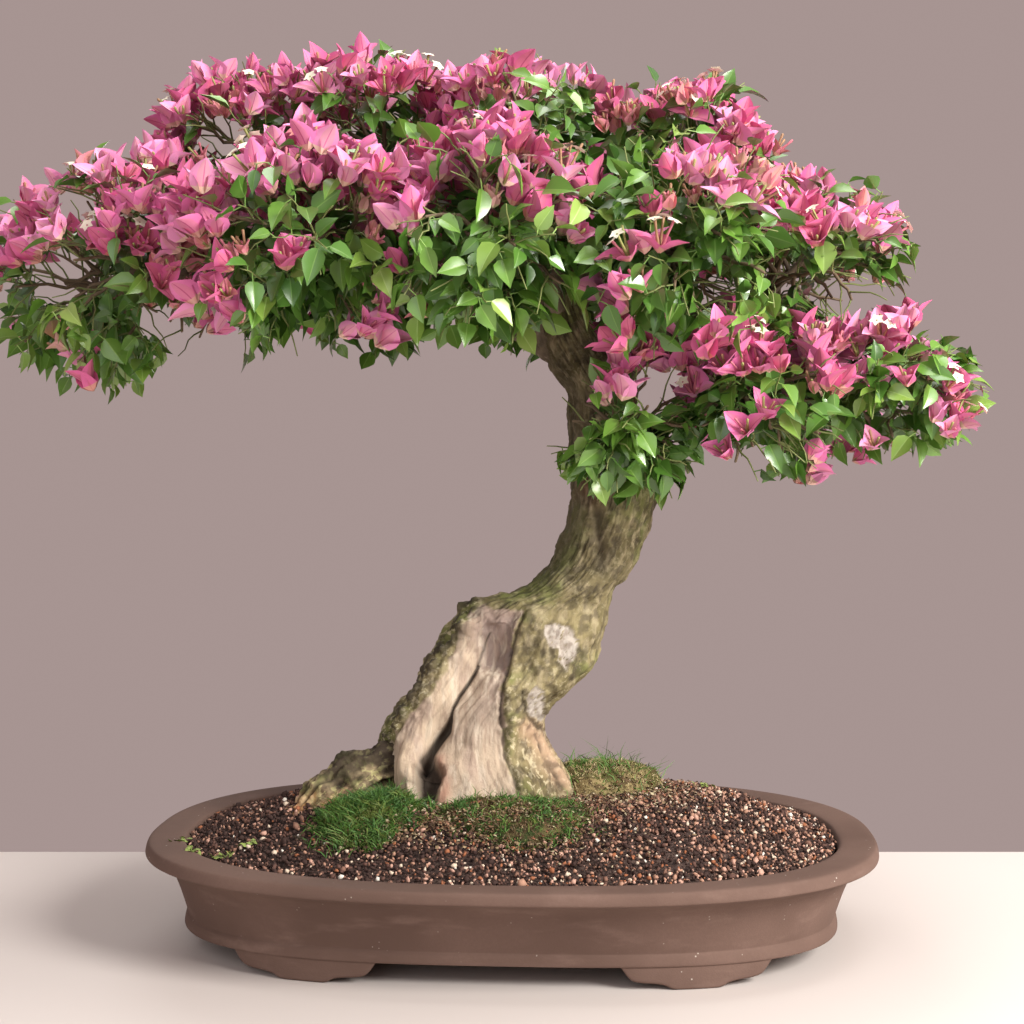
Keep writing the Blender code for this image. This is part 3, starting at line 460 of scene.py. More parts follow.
def makePot():
    points = np.concatenate([ovalRing(inset, height) for inset, height in potProfile()])
    outside = points[:, 2] > pot["bandBottom"] + 0.001
    waver = noiseAt(points, scale=14, offset=3.1) * pot["waver"] * outside   # thrown by hand, not quite true
    points += unit(points * (1, 1, 0)) * waver[:, None]
    points, groups = closedSkin(points, pot["segments"], (0, 0, pot["bandBottom"]), (0, 0, pot["floor"]))
    look = clayLook()
    piece = addPiece("potBody", points, groups, [look], ["pot"])
    piece.data.set_sharp_from_angle(angle=pot["sharpFrom"])
    makeFeet(look)


def clayLook():
    clay = NodeLook("unglazedClay", 0.80, Specular_IOR_Level=0.12)
    cloud = clay.noise(9, 4)
    colour = clay.mix(clay.spread(cloud, 0.35, 0.68), pot["clayDark"], pot["clay"])
    colour = clay.patches(colour, pot["clayWarm"], 22, 3, 0.52, 0.78, 0.65, (1, 1, 3.5))
    specks = clay.spread(clay.cells(170), 0.06, 0.12, 1, 0)
    rare = clay.spread(clay.noise(60, 1), 0.56, 0.62)
    colour = clay.mix(clay.times(clay.times(specks, rare), 0.8), colour, pot["speck"])
    colour = clay.patches(colour, pot["clayDark"], 420, 2, 0.3, 0.7, 0.22)
    clay.bump(clay.noise(900, 4), 0.0003, 0.5)
    return clay.finish(colour, clay.spread(cloud, 0.3, 0.7, 0.74, 0.90))


makePot()


# Grit: a dark mounded bed under thousands of loose grains

grit = dict(
    edge=0.0705, plateau=0.100, plateauCentre=(0.000, 0.000), plateauHalf=(0.122, 0.066),
    heaps=(                          # middle, radius, height
        (-0.175, -0.020, 0.034, 0.0030), (-0.150, 0.085, 0.036, 0.0028), (-0.115, -0.105, 0.032, -0.0020),
        (-0.045, -0.118, 0.030, 0.0026), (0.030, -0.112, 0.028, -0.0018), (0.105, -0.100, 0.034, 0.0030),
        (0.172, -0.048, 0.032, -0.0022), (0.168, 0.035, 0.040, 0.0036), (0.095, 0.108, 0.034, -0.0020),
        (0.010, 0.115, 0.034, 0.0028), (-0.075, 0.112, 0.028, -0.0018),
    ),
    rings=44, ease=0.85, rough=0.0011, bedSunk=0.0018,
    wallGap=0.0004, floorGap=0.0005, wallLevels=(0.045, 0.060),
    trunkFoot=((-0.022, 0.004), (0.078, 0.050)),     # bare of grains: middle, half lengths
    grains=16500, spare=1.12, lipGap=0.002, squareness=2.5, shift=0.55,
    grainSize=(0.0017, 0.0060), coarse=0.035, coarser=1.45,
    grainCorners=(0.52, 1.25), grainStretch=(0.34, 1.05),
    # The last two values paint shade: the most share of grains made dark on the left, and the x where it
    # starts and where it is full
    grainLevel=-0.0009, grainSunk=0.25, grainRise=(-0.0005, 0.0010), leftShade=0.66, leftShadeFrom=(0.06, -0.20),
    tones=(                          # share of the grains, colour
        (0.36, (0.050, 0.028, 0.023)), (0.20, (0.115, 0.060, 0.046)), (0.13, (0.235, 0.125, 0.088)),
        (0.12, (0.440, 0.248, 0.170)), (0.11, (0.550, 0.325, 0.245)), (0.05, (0.330, 0.125, 0.060)),
        (0.055, (0.680, 0.550, 0.420)), (0.018, (0.780, 0.730, 0.640)),
    ),
)


def moundRise(share):
    return 0.5 - 0.5 * np.cos(np.pi * share ** grit["ease"])


def heapRise(x, y, share):           # what the low heaps add; they fade out at the wall and on the plateau
    rise = 0
    for heapX, heapY, radius, height in grit["heaps"]:
        rise = rise + height * np.exp(-((x - heapX) ** 2 + (y - heapY) ** 2) / radius ** 2)
    return rise * np.sin(np.pi * share)


def gritHeight(x, y):                # level of the mound at places, between its wall and its plateau
    low, high = np.zeros(len(x)), np.ones(len(x))
    edgeX, edgeY = pot["halfLength"] - pot["lipWidth"], pot["halfWidth"] - pot["lipWidth"]
    (middleX, middleY), (flatX, flatY) = grit["plateauCentre"], grit["plateauHalf"]
    for _ in range(18):
        share = (low + high) / 2
        across = np.abs(x - middleX * share) / between((edgeX, flatX), share)
        along = np.abs(y - middleY * share) / between((edgeY, flatY), share)
        power = between((pot["rimSquareness"], 2), share)
        inside = across ** power + along ** power < 1
        low, high = np.where(inside, share, low), np.where(inside, high, share)
    return between((grit["edge"], grit["plateau"]), moundRise(low)) + heapRise(x, y, low)


def makeBed():
    bottom, top = pot["floor"] + grit["floorGap"], grit["plateau"] - grit["bedSunk"]
    *rings, wall = [ovalRing(innerInset(height) + grit["wallGap"], height)
                    for height in (bottom, *grit["wallLevels"], grit["edge"])]
    angle = ringAngles()[:, None]
    flat = grit["plateauCentre"] + grit["plateauHalf"] * np.hstack((np.cos(angle), np.sin(angle)))
    for share in np.linspace(0, 1, grit["rings"]):
        x, y = between((wall[:, :2], flat), share).T
        height = between((grit["edge"], grit["plateau"]), moundRise(share)) - grit["bedSunk"]
        ring = np.stack((x, y, height + heapRise(x, y, share)), axis=-1)
        ring[:, 2] += noiseAt(ring, scale=150, offset=7.7) * grit["rough"]
        rings.append(ring)
    middle = (*grit["plateauCentre"], top)
    points, groups = closedSkin(np.concatenate(rings), pot["segments"], (0, 0, bottom), middle)
    bed = NodeLook("darkBed", 0.95, Specular_IOR_Level=0.2)
    cells = bed.spread(bed.cells(330, "Color"), 0.2, 0.9)
    colour = bed.mix(cells, (0.032, 0.021, 0.019), (0.095, 0.062, 0.052))
    colour = bed.patches(colour, (0.16, 0.11, 0.085), 500, 3, 0.5, 0.7, 0.6)
    bed.bump(bed.noise(700, 4), 0.0012)
    addPiece("gritBed", points, groups, [bed.finish(colour)], ["grit"])


# Twelve corners of a twenty-sided grain
def grainShape():
    wide = (1 + math.sqrt(5)) / 2
    corners = []
    for a in (-1, 1):
        for b in (-wide, wide):
            corners += [(0, a, b), (a, b, 0), (b, 0, a)]
    corners = unit(np.array(corners, float))
    near = np.linalg.norm(corners[:, None] - corners[None], axis=-1) < 1.2
    faces = [(i, j, k) for i in range(12) for j in range(i + 1, 12) for k in range(j + 1, 12)
             if near[i, j] and near[j, k] and near[i, k]]
    facing = []
    for i, j, k in faces:
        out = np.dot(np.cross(corners[j] - corners[i], corners[k] - corners[i]), corners[i]) > 0
        facing.append((i, j, k) if out else (i, k, j))
    return corners, np.array(facing)


def randomTurns(dice, count):        # rotation matrices from random quaternions
    w, x, y, z = unit(dice.normal(size=(count, 4))).T
    rows = ((1 - 2 * (y * y + z * z), 2 * (x * y - z * w), 2 * (x * z + y * w)),
            (2 * (x * y + z * w), 1 - 2 * (x * x + z * z), 2 * (y * z - x * w)),
            (2 * (x * z - y * w), 2 * (y * z + x * w), 1 - 2 * (x * x + y * y)))
    return np.stack([np.stack(row, axis=-1) for row in rows], axis=-2)


def aroundTrunk(x, y):               # true under the trunk's foot
    (middleX, middleY), (halfX, halfY) = grit["trunkFoot"]
    return ((x - middleX) / halfX) ** 2 + ((y - middleY) / halfY) ** 2 < 1


def makeGrains():
    dice = np.random.default_rng(41)
    inset, power, shift = pot["lip"][-1][0] + grit["lipGap"], grit["squareness"], grit["shift"]
    edgeX, edgeY = pot["halfLength"] - inset, pot["halfWidth"] - inset
    pitch = math.sqrt(4 * edgeX * edgeY / (grit["grains"] * grit["spare"]))
    columns, rows = int(2 * edgeX / pitch), int(2 * edgeY / pitch)
    gridX, gridY = np.meshgrid(np.linspace(-edgeX, edgeX, columns), np.linspace(-edgeY, edgeY, rows))
    x = gridX.ravel() + dice.uniform(-shift, shift, gridX.size) * pitch
    y = gridY.ravel() + dice.uniform(-shift, shift, gridX.size) * pitch
    keep = ((np.abs(x) / edgeX) ** power + (np.abs(y) / edgeY) ** power < 1) & ~aroundTrunk(x, y)
    x, y = x[keep], y[keep]
    count = len(x)
    smallest, largest = grit["grainSize"]
    size = dice.triangular(smallest, smallest * 1.5, largest, count)
    size = np.where(dice.random(count) < grit["coarse"], size * grit["coarser"], size)
    corners, faces = grainShape()
    shape = corners[None] * dice.uniform(*grit["grainCorners"], (count, len(corners), 1))
    shape = shape * dice.uniform(*grit["grainStretch"], (count, 1, 3))
    shape = np.einsum("nij,nkj->nki", randomTurns(dice, count), shape) * (size / 2)[:, None, None]
    level = gritHeight(x, y) + size * (0.5 - grit["grainSunk"]) + grit["grainLevel"]
    level += dice.uniform(*grit["grainRise"], count)
    points = shape + np.stack((x, y, level), axis=-1)[:, None]
    tone = pickByShare(dice, [share for share, _ in grit["tones"]], count)
    leftShade = dice.random(count) < grit["leftShade"] * ease(*grit["leftShadeFrom"], x)      # painted shade: more grains dark towards the left
    tone = np.where(leftShade, tone // 3, tone)
    looks = toneLooks("grain", [colour for _, colour in grit["tones"]], 0.9, Specular_IOR_Level=0.25)
    half = x < 0.004                 # two pieces, each under the limit of faces
    for name, part in (("gritGrainsLeft", half), ("gritGrainsRight", ~half)):
        allFaces = repeatFaces(faces, int(part.sum()), len(corners))
        groups = [(allFaces, np.repeat(tone[part], len(faces)))]
        addPiece(name, points[part].reshape(-1, 3), groups, looks, ["grit"], smooth=False)


makeBed()
makeGrains()


# Moss and fine grass in three cushions on the grit

moss = dict(
    profile=(                        # share of the half lengths, height of the skin, share of the rise
        (1.00, -0.010, 0.00), (1.02, -0.003, 0.00), (0.86, 0.000, 0.55), (0.50, 0.000, 0.90), (0.10, 0, 1),
    ),
    rings=30, columns=96, waves=((3, 0.09), (7, 0.04)), rough=0.0022,
    cushions={                       # middle, half lengths, height, blades, their length, how upright, tones
        "moss_left": ((-0.096, -0.078), (0.034, 0.035), 0.008, 7600, (0.0050, 0.0150), 0.7, (0, 0, 1, 1, 2)),
        "moss_front": ((0.008, -0.084), (0.052, 0.030), 0.008, 7600, (0.0025, 0.0085), 0.8, (0, 1, 1, 2, 4)),
        "moss_mound": ((0.068, 0.026), (0.042, 0.042), 0.016, 8200, (0.0015, 0.0055), 0.7, (1, 2, 3, 5, 5)),
    },
    tones=((0.046, 0.125, 0.020), (0.080, 0.180, 0.028), (0.155, 0.205, 0.042), (0.250, 0.230, 0.075),
           (0.130, 0.085, 0.038), (0.400, 0.320, 0.160)),
    skins={"moss_left": ((0.016, 0.032, 0.009), (0.055, 0.070, 0.020)),
           "moss_front": ((0.035, 0.050, 0.016), (0.130, 0.105, 0.045)),
           "moss_mound": ((0.100, 0.090, 0.032), (0.300, 0.230, 0.110))},
    soil=(0.075, 0.046, 0.024),
    bladeWidth=(0.00022, 0.00050), stray=0.0012, sunk=0.0006, droop=0.35,
    spilled=0.26, spillReach=1.45, spillSunk=0.0004, tallTone=1,
    tall=(("moss_mound", 260, (0.010, 0.024)), ("moss_front", 90, (0.008, 0.016)),
          ("moss_left", 120, (0.010, 0.017))),
)
litter = dict(                       # dry flakes and scraps of green between the moss and the grit
    flakes=3600, size=(0.0014, 0.0048), thick=0.0008, slim=(0.35, 0.8), lift=0.0012, unevenness=0.0018,
    places=(                         # middle, half lengths, share
        ((0.010, -0.104), (0.075, 0.030), 0.40), ((0.060, -0.030), (0.060, 0.050), 0.26),
        ((0.110, 0.000), (0.045, 0.060), 0.14), ((-0.060, -0.100), (0.070, 0.026), 0.20),
    ),
    tones=((0.105, 0.060, 0.032), (0.190, 0.115, 0.060), (0.330, 0.235, 0.130), (0.260, 0.105, 0.055),
           (0.470, 0.400, 0.250), (0.235, 0.300, 0.075)),
    toneShares=(0.30, 0.26, 0.18, 0.14, 0.12),       # of the dry tones; the last tone is the weeds'
    weeds=((-0.236, -0.060), (-0.222, -0.090), (-0.196, -0.104), (0.146, 0.030), (-0.180, -0.088)),
    weedLeaves=14, weedReach=(0.0035, 0.0030), weedSize=(0.0045, 0.0080),
)


def cushionPoints(name, dice):
    (middleX, middleY), (halfX, halfY), height = moss["cushions"][name][:3]
    profile = np.array(moss["profile"])
    steps = np.linspace(0, len(profile) - 1, moss["rings"])
    scale, skin, rise = [np.interp(steps, np.arange(len(profile)), column) for column in profile.T]
    rise = np.sin(np.clip(rise, 0, 1) * math.pi / 2)
    angle = np.arange(moss["columns"]) * math.tau / moss["columns"]
    turn = dice.uniform(0, math.tau)
    wave = 1 + sum(high * np.sin(count * angle + turn) for count, high in moss["waves"])
    wave = scale[:, None] * wave[None]
    x = (middleX + halfX * wave * np.cos(angle)).ravel()
    y = (middleY + halfY * wave * np.sin(angle)).ravel()
    z = gritHeight(x, y) + np.repeat(skin + rise * height, moss["columns"])
    points = np.stack((x, y, z), axis=-1)
    rough = noiseAt(points, scale=120, offset=1.3, octaves=3) * moss["rough"]
    points[:, 2] += rough * np.repeat(rise, moss["columns"])
    return points


def bladesOn(name, points, dice):    # fine blades rooted on a cushion's skin, some on the grit round it
    (middleX, middleY), (halfX, halfY), _, count, (shortest, longest), upright, kinds = moss["cushions"][name]
    top = points[moss["columns"] * 6:]
    base = top[dice.integers(0, len(top), count)]
    base = base + dice.normal(0, moss["stray"], (count, 3)) * (1, 1, 0.2) - (0, 0, moss["sunk"])
    spilled = dice.random(count) < moss["spilled"]
    angle = dice.uniform(0, math.tau, count)
    reach = dice.uniform(0.9, 1.0 + (moss["spillReach"] - 1) * dice.random(count), count)
    x, y = middleX + halfX * reach * np.cos(angle), middleY + halfY * reach * np.sin(angle)
    outside = np.stack((x, y, gritHeight(x, y) - moss["spillSunk"]), axis=-1)
    base = np.where(spilled[:, None], outside, base)
    length = shortest + (longest - shortest) * dice.random(count) ** 1.4
    tall = np.zeros(count, bool)
    for place, extra, limits in moss["tall"]:
        if place == name:
            length[:extra] = dice.uniform(*limits, extra)
            tall[:extra] = True
    clump = noiseAt(base, scale=110, offset=5.0)
    keep = ~(spilled & ((clump < 0.02) | aroundTrunk(base[:, 0], base[:, 1])))
    base, length, clump, tall = base[keep], length[keep], clump[keep], tall[keep]
    count = len(base)
    lean = dice.normal(0, 1 - upright * 0.55, (count, 2))
    along = unit(np.column_stack((lean, np.ones(count))))
    length = (length * (0.75 + 0.9 * np.clip(clump, -0.4, 0.5)))[:, None]
    side = unit(np.cross(along, dice.normal(size=(count, 3))))
    side = side * dice.uniform(*moss["bladeWidth"], count)[:, None]
    bend = unit(np.column_stack((lean + dice.normal(0, 0.3, (count, 2)), np.full(count, -0.1))))
    middle = base + along * (length * 0.5)
    tip = base + along * (length * 0.9) + bend * (length * moss["droop"])
    blades = np.stack((base - side, base + side, middle + side * 0.8, middle - side * 0.8, tip), axis=1)
    patch = noiseAt(base, scale=60, offset=9.0)
    pick = np.clip((2.5 + 5 * patch + dice.normal(0, 1.1, count)).astype(int), 0, len(kinds) - 1)
    return blades, np.where(tall, moss["tallTone"], np.array(kinds)[pick])


def makeMoss():
    looks = toneLooks("mossBlade", moss["tones"], 0.6)
    for number, name in enumerate(moss["cushions"]):
        title = "moss" + name.split("_")[1].capitalize()
        cushion = NodeLook(title + "Skin", 0.95, Specular_IOR_Level=0.15)
        colour = cushion.patches(*moss["skins"][name], 60, 3, 0.4, 0.62)
        colour = cushion.patches(colour, moss["soil"], 200, 2, 0.50, 0.62, 0.8)
        cushion.bump(cushion.noise(600, 3), 0.001)
        dice = np.random.default_rng(100 + number)
        points = cushionPoints(name, dice)
        blades, tones = bladesOn(name, points, dice)
        columns = moss["columns"]
        points, groups = closedSkin(points, columns, points[:columns].mean(0), points[-columns:].mean(0))
        addPiece(title, points, groups, [cushion.finish(colour)], [name])
        groups = [(repeatFaces([corners], len(blades), 5), tones) for corners in ((0, 1, 2, 3), (3, 2, 4))]
        addPiece(title + "Blades", blades.reshape(-1, 3), groups, looks, [name])


def cushionRise(x, y):               # how far the moss stands above the grit at places
    rise = np.zeros(len(x))
    for (middleX, middleY), (halfX, halfY), height, *_ in moss["cushions"].values():
        out = np.hypot((x - middleX) / halfX, (y - middleY) / halfY)
        rise = np.maximum(rise, height * np.sqrt(np.clip(1 - out ** 2, 0, 1)))
    return rise


# Flakes of four corners lying about, and little rosettes of green on the bare grit
def makeLitter():
    dice = np.random.default_rng(77)
    spot = pickByShare(dice, [share for _, _, share in litter["places"]], litter["flakes"])
    middle, half = [np.array([place[column] for place in litter["places"]])[spot] for column in (0, 1)]
    x, y = (middle + half * np.clip(dice.normal(0, 0.5, (len(spot), 2)), -1.2, 1.2)).T
    keep = ~aroundTrunk(x, y)
    x, y = x[keep], y[keep]
    smallest, largest = litter["size"]
    size = dice.triangular(smallest, smallest * 1.4, largest, len(x))
    tone = pickByShare(dice, litter["toneShares"], len(x))
    weedX, weedY = [], []
    for placeX, placeY in litter["weeds"]:
        weedX += list(placeX + dice.normal(0, litter["weedReach"][0], litter["weedLeaves"]))
        weedY += list(placeY + dice.normal(0, litter["weedReach"][1], litter["weedLeaves"]))
    x, y = np.append(x, weedX), np.append(y, weedY)
    size = np.append(size, dice.uniform(*litter["weedSize"], len(weedX)))
    tone = np.append(tone, np.full(len(weedX), len(litter["toneShares"])))
    level = gritHeight(x, y) + cushionRise(x, y) + litter["lift"]
    level += dice.uniform(0, litter["unevenness"], len(x))
    centre = np.stack((x, y, level), axis=-1)
    up = unit(dice.normal(0, 0.45, (len(x), 3)) + (0, 0, 1))
    side = unit(np.cross(up, dice.normal(size=(len(x), 3))))
    other = np.cross(up, side) * dice.uniform(*litter["slim"], len(x))[:, None]
    corners = [centre + up * (litter["thick"] * dice.uniform(0, 1, len(x)))[:, None]]
    for a, b in ((1, 0), (0.1, 1), (-1, 0.2), (-0.2, -1)):
        corners.append(centre + (side * a + other * b) * (size / 2)[:, None])
    faces = [(0, 1, 2), (0, 2, 3), (0, 3, 4), (0, 4, 1)]
    groups = [(repeatFaces(faces, len(x), len(corners)), np.repeat(tone, len(faces)))]
    looks = toneLooks("flake", litter["tones"], 0.8)
    points = np.stack(corners, axis=1).reshape(-1, 3)
    addPiece("litter", points, groups, looks, ["grit"], smooth=False)


makeMoss()
makeLitter()


# Trunk: live bark round a bare, hollowed face, lofted through the same sections as its solid

trunk = dict(
    base=0.1003,
    sections=(                       # height, left side, right side, half depth, shift to the back
        (0.000, -0.110, 0.052, 0.060, 0.000), (0.010, -0.107, 0.046, 0.055, 0.000),
        (0.023, -0.106, 0.035, 0.050, 0.001), (0.037, -0.101, 0.028, 0.046, 0.002),
        (0.055, -0.094, 0.027, 0.044, 0.003), (0.074, -0.078, 0.042, 0.043, 0.004),
        (0.094, -0.067, 0.060, 0.042, 0.006), (0.113, -0.055, 0.065, 0.041, 0.008),
        (0.128, -0.048, 0.068, 0.039, 0.009), (0.138, -0.038, 0.072, 0.036, 0.010),
        (0.144, -0.022, 0.076, 0.034, 0.011), (0.151, 0.004, 0.079, 0.033, 0.012),
        (0.159, 0.017, 0.084, 0.032, 0.012), (0.174, 0.030, 0.092, 0.031, 0.013),
        (0.190, 0.037, 0.099, 0.031, 0.014), (0.222, 0.045, 0.110, 0.031, 0.015),
        (0.250, 0.044, 0.108, 0.030, 0.015), (0.277, 0.042, 0.101, 0.028, 0.014),
        (0.300, 0.040, 0.090, 0.025, 0.013), (0.322, 0.029, 0.078, 0.023, 0.012),
        (0.342, 0.018, 0.066, 0.021, 0.012), (0.360, 0.017, 0.056, 0.018, 0.012),
        (0.384, 0.020, 0.050, 0.015, 0.012),
    ),
    rows=316, columns=296, domeRows=12, domeHeight=0.012, capHeight=0.0004, sink=0.006, frontDense=0.45,
    lobes=6, flare=0.085, flareHeight=0.060,
    # The hollow's depth, where it is round the trunk, its width, its middle's height and its reach
    hollow=(0.012, math.radians(256), math.radians(24), 0.075, 0.055),
    lumps=((24, 0.7, 2, 0.0042), (62, 9.1, 2, 0.0020)),      # noise scale, its offset, octaves, height
    ridges=0.0015, flakes=0.00055, furrows=0.0016, grain=0.0005, wander=0.0035,
    bareEdge=0.0012, bareDepth=0.0020, bareDepthFrom=0.006,
    callus=0.0026, callusPlace=0.0045, callusWidth=0.0035,
    hollowEdge=(-0.005, 0.008), hollowDepth=0.0056, cavityEdge=0.0020, cavityDepth=0.0170,
    chalkEdge=0.0008, chalkRim=0.0030, chalkDepth=0.0014,
    fibre=0.045,                     # how finely the wood's grain follows the way round the trunk
    groove=(0.0013, 0.0038),         # its width and depth at the top
    slot=(0.0022, 0.0080),           # what it gains in width and depth lower down
    slotFrom=(0.48, 0.70),           # the shares of its way between which it opens
    strip=(0.0016, 0.0050),          # how far the dark strip stands out: everywhere, and with its blotches
)

# Lines on the trunk's front: how wide each spreads, how far it stands out, how dark it is, and its points as
# (x, z) seen from the front
woodLines = dict(
    creamRidge=(0.0070, 0.0034, 0, (
        (-0.031, 0.226), (-0.034, 0.205), (-0.043, 0.187), (-0.054, 0.170), (-0.065, 0.152), (-0.077, 0.134),
        (-0.084, 0.112))),
    middleRidge=(0.0110, 0.0030, 0, (
        (-0.014, 0.186), (-0.020, 0.168), (-0.027, 0.150), (-0.030, 0.130), (-0.031, 0.104))),
    cavityLip=(0.0050, 0, 0, ((-0.051, 0.130), (-0.045, 0.118), (-0.047, 0.104))),
    crack=(0.0009, -0.0012, 0.75, ((-0.017, 0.220), (-0.021, 0.208), (-0.024, 0.197))),
    seam=(0.0015, -0.0026, 0.80, (
        (0.010, 0.236), (0.005, 0.223), (0.000, 0.203), (-0.004, 0.185), (-0.006, 0.170), (-0.004, 0.150),
        (-0.002, 0.132), (0.006, 0.115), (0.009, 0.100))),
    scar=(0.0015, -0.0018, 0.90, (
        (0.010, 0.180), (0.011, 0.167), (0.016, 0.156), (0.022, 0.149), (0.028, 0.144), (0.034, 0.134))),
    spots=(0.0055, 0, 0, ((0.031, 0.211), (0.038, 0.200), (0.044, 0.190), (0.050, 0.200), (0.052, 0.216))),
    knot=(0.0055, -0.0045, 0.75, ((0.064, 0.309), (0.066, 0.290), (0.067, 0.271))),
    rust=(0.0080, 0, 0, ((0.060, 0.345), (0.060, 0.325))),
    darkStrip=(0.0085, 0, 0, (
        (-0.031, 0.240), (-0.040, 0.224), (-0.050, 0.208), (-0.060, 0.195), (-0.068, 0.182), (-0.075, 0.172),
        (-0.084, 0.160), (-0.092, 0.147), (-0.098, 0.134), (-0.102, 0.122))),
    tanFoot=(0.0090, 0, 0, ((0.012, 0.152), (0.022, 0.140), (0.030, 0.126), (0.042, 0.112))),
)
# The groove runs from the hollow to the cavity and opens into a slot on its way
woodGroove = (
    (-0.024, 0.196), (-0.027, 0.190), (-0.032, 0.182), (-0.037, 0.175), (-0.042, 0.166), (-0.044, 0.158),
    (-0.047, 0.151), (-0.053, 0.143), (-0.059, 0.135), (-0.064, 0.130),
)
# Patches on the trunk's front: how far their edges wander with the bark, and their outlines
woodPatches = dict(
    bare=(1.0, (
        (-0.030, 0.236), (-0.021, 0.241), (-0.006, 0.240), (0.010, 0.238), (0.005, 0.223), (0.000, 0.203),
        (-0.004, 0.185), (-0.006, 0.170), (-0.004, 0.150), (-0.002, 0.132), (0.005, 0.115), (0.008, 0.096),
        (-0.092, 0.096), (-0.099, 0.113), (-0.097, 0.126), (-0.090, 0.138), (-0.082, 0.150), (-0.073, 0.161),
        (-0.063, 0.171), (-0.055, 0.182), (-0.046, 0.194), (-0.040, 0.209), (-0.035, 0.224))),
    greyHollow=(1.2, (
        (-0.024, 0.234), (0.004, 0.234), (0.004, 0.222), (0.000, 0.208), (-0.004, 0.194), (-0.015, 0.188),
        (-0.022, 0.194), (-0.026, 0.203), (-0.028, 0.216))),
    cavity=(0.6, (
        (-0.056, 0.133), (-0.048, 0.124), (-0.050, 0.112), (-0.055, 0.099), (-0.071, 0.099), (-0.072, 0.113),
        (-0.070, 0.124), (-0.064, 0.131))),
    whiteHigh=(0.6, (
        (0.026, 0.228), (0.035, 0.230), (0.044, 0.226), (0.050, 0.216), (0.049, 0.203), (0.042, 0.193),
        (0.038, 0.201), (0.037, 0.210), (0.030, 0.213), (0.026, 0.221))),
    whiteLow=(0.6, (
        (0.020, 0.183), (0.026, 0.179), (0.027, 0.168), (0.025, 0.154), (0.020, 0.155), (0.013, 0.164),
        (0.013, 0.174))),
)


def sectionCurves():                 # the sections' values along an even walk up the trunk
    table = np.array(trunk["sections"])
    heights = table[:, 0]
    dense = np.linspace(0, heights[-1], 1600)
    slopes = np.gradient(table[:, 1:], heights, axis=0)
    index = np.clip(np.searchsorted(heights, dense, side="right") - 1, 0, len(heights) - 2)
    step = heights[index + 1] - heights[index]
    t = ((dense - heights[index]) / step)[:, None]
    low, high = table[index, 1:], table[index + 1, 1:]
    values = (low * (2 * t ** 3 - 3 * t ** 2 + 1) + high * (3 * t ** 2 - 2 * t ** 3)
              + step[:, None] * slopes[index] * (t ** 3 - 2 * t ** 2 + t)
              + step[:, None] * slopes[index + 1] * (t ** 3 - t ** 2))
    walk = np.abs(np.diff(dense)) + 0.5 * np.abs(np.diff(values[:, 0])) + 0.2 * np.abs(np.diff(values[:, 1]))
    travelled = np.concatenate(((0,), np.cumsum(walk)))
    even = np.interp(np.linspace(0, travelled[-1], trunk["rows"]), travelled, dense)
    return even, [np.interp(even, dense, values[:, i]) for i in range(4)]


def trunkSkin():
    heights, (left, right, halfDepth, shift) = sectionCurves()
    angle = np.arange(trunk["columns"]) * math.tau / trunk["columns"]
    angle = angle - trunk["frontDense"] * np.cos(angle)      # closer columns at the front
    depth, turnTo, width, middle, reach = trunk["hollow"]
    flare = trunk["flare"] * np.clip(1 - heights / trunk["flareHeight"], 0, 1)[:, None]
    lobe = 1 + flare * np.cos(trunk["lobes"] * angle) - flare
    window = np.clip(1 - ((heights - middle) / reach) ** 2, 0, 1)[:, None]
    turn = (angle - turnTo + math.pi) % math.tau - math.pi
    carved = depth * window * np.exp(-((turn / width) ** 2))
    centre, half = ((left + right) / 2)[:, None], ((right - left) / 2)[:, None]
    x = centre + half * lobe * np.cos(angle)
    y = shift[:, None] + (halfDepth[:, None] * lobe - carved) * np.sin(angle)
    z = np.broadcast_to((trunk["base"] + heights)[:, None], x.shape)
    skin = np.stack((x, y, z), axis=-1)
    foot = skin[:1] * (1, 1, 0) + (0, 0, trunk["base"] - trunk["sink"])
    rise = np.linspace(0, math.pi / 2, trunk["domeRows"] + 2)[1:-1, None, None]
    top = skin[-1:]
    middleTop = top.mean(axis=1, keepdims=True)
    dome = middleTop + (top - middleTop) * np.cos(rise) + np.array((0, 0, trunk["domeHeight"])) * np.sin(rise)
    along = np.concatenate(((0,), heights, np.full(trunk["domeRows"], heights[-1])))
    around = np.broadcast_to(angle, (len(along), len(angle)))
    fibre = np.stack((np.cos(around), np.sin(around), np.broadcast_to(along[:, None], around.shape)), axis=-1)
    return np.concatenate((foot, skin, dome)), fibre


def gridNormals(skin):
    upward = np.gradient(skin, axis=0)
    around = np.roll(skin, -1, axis=1) - np.roll(skin, 1, axis=1)
    return unit(np.cross(around, upward))


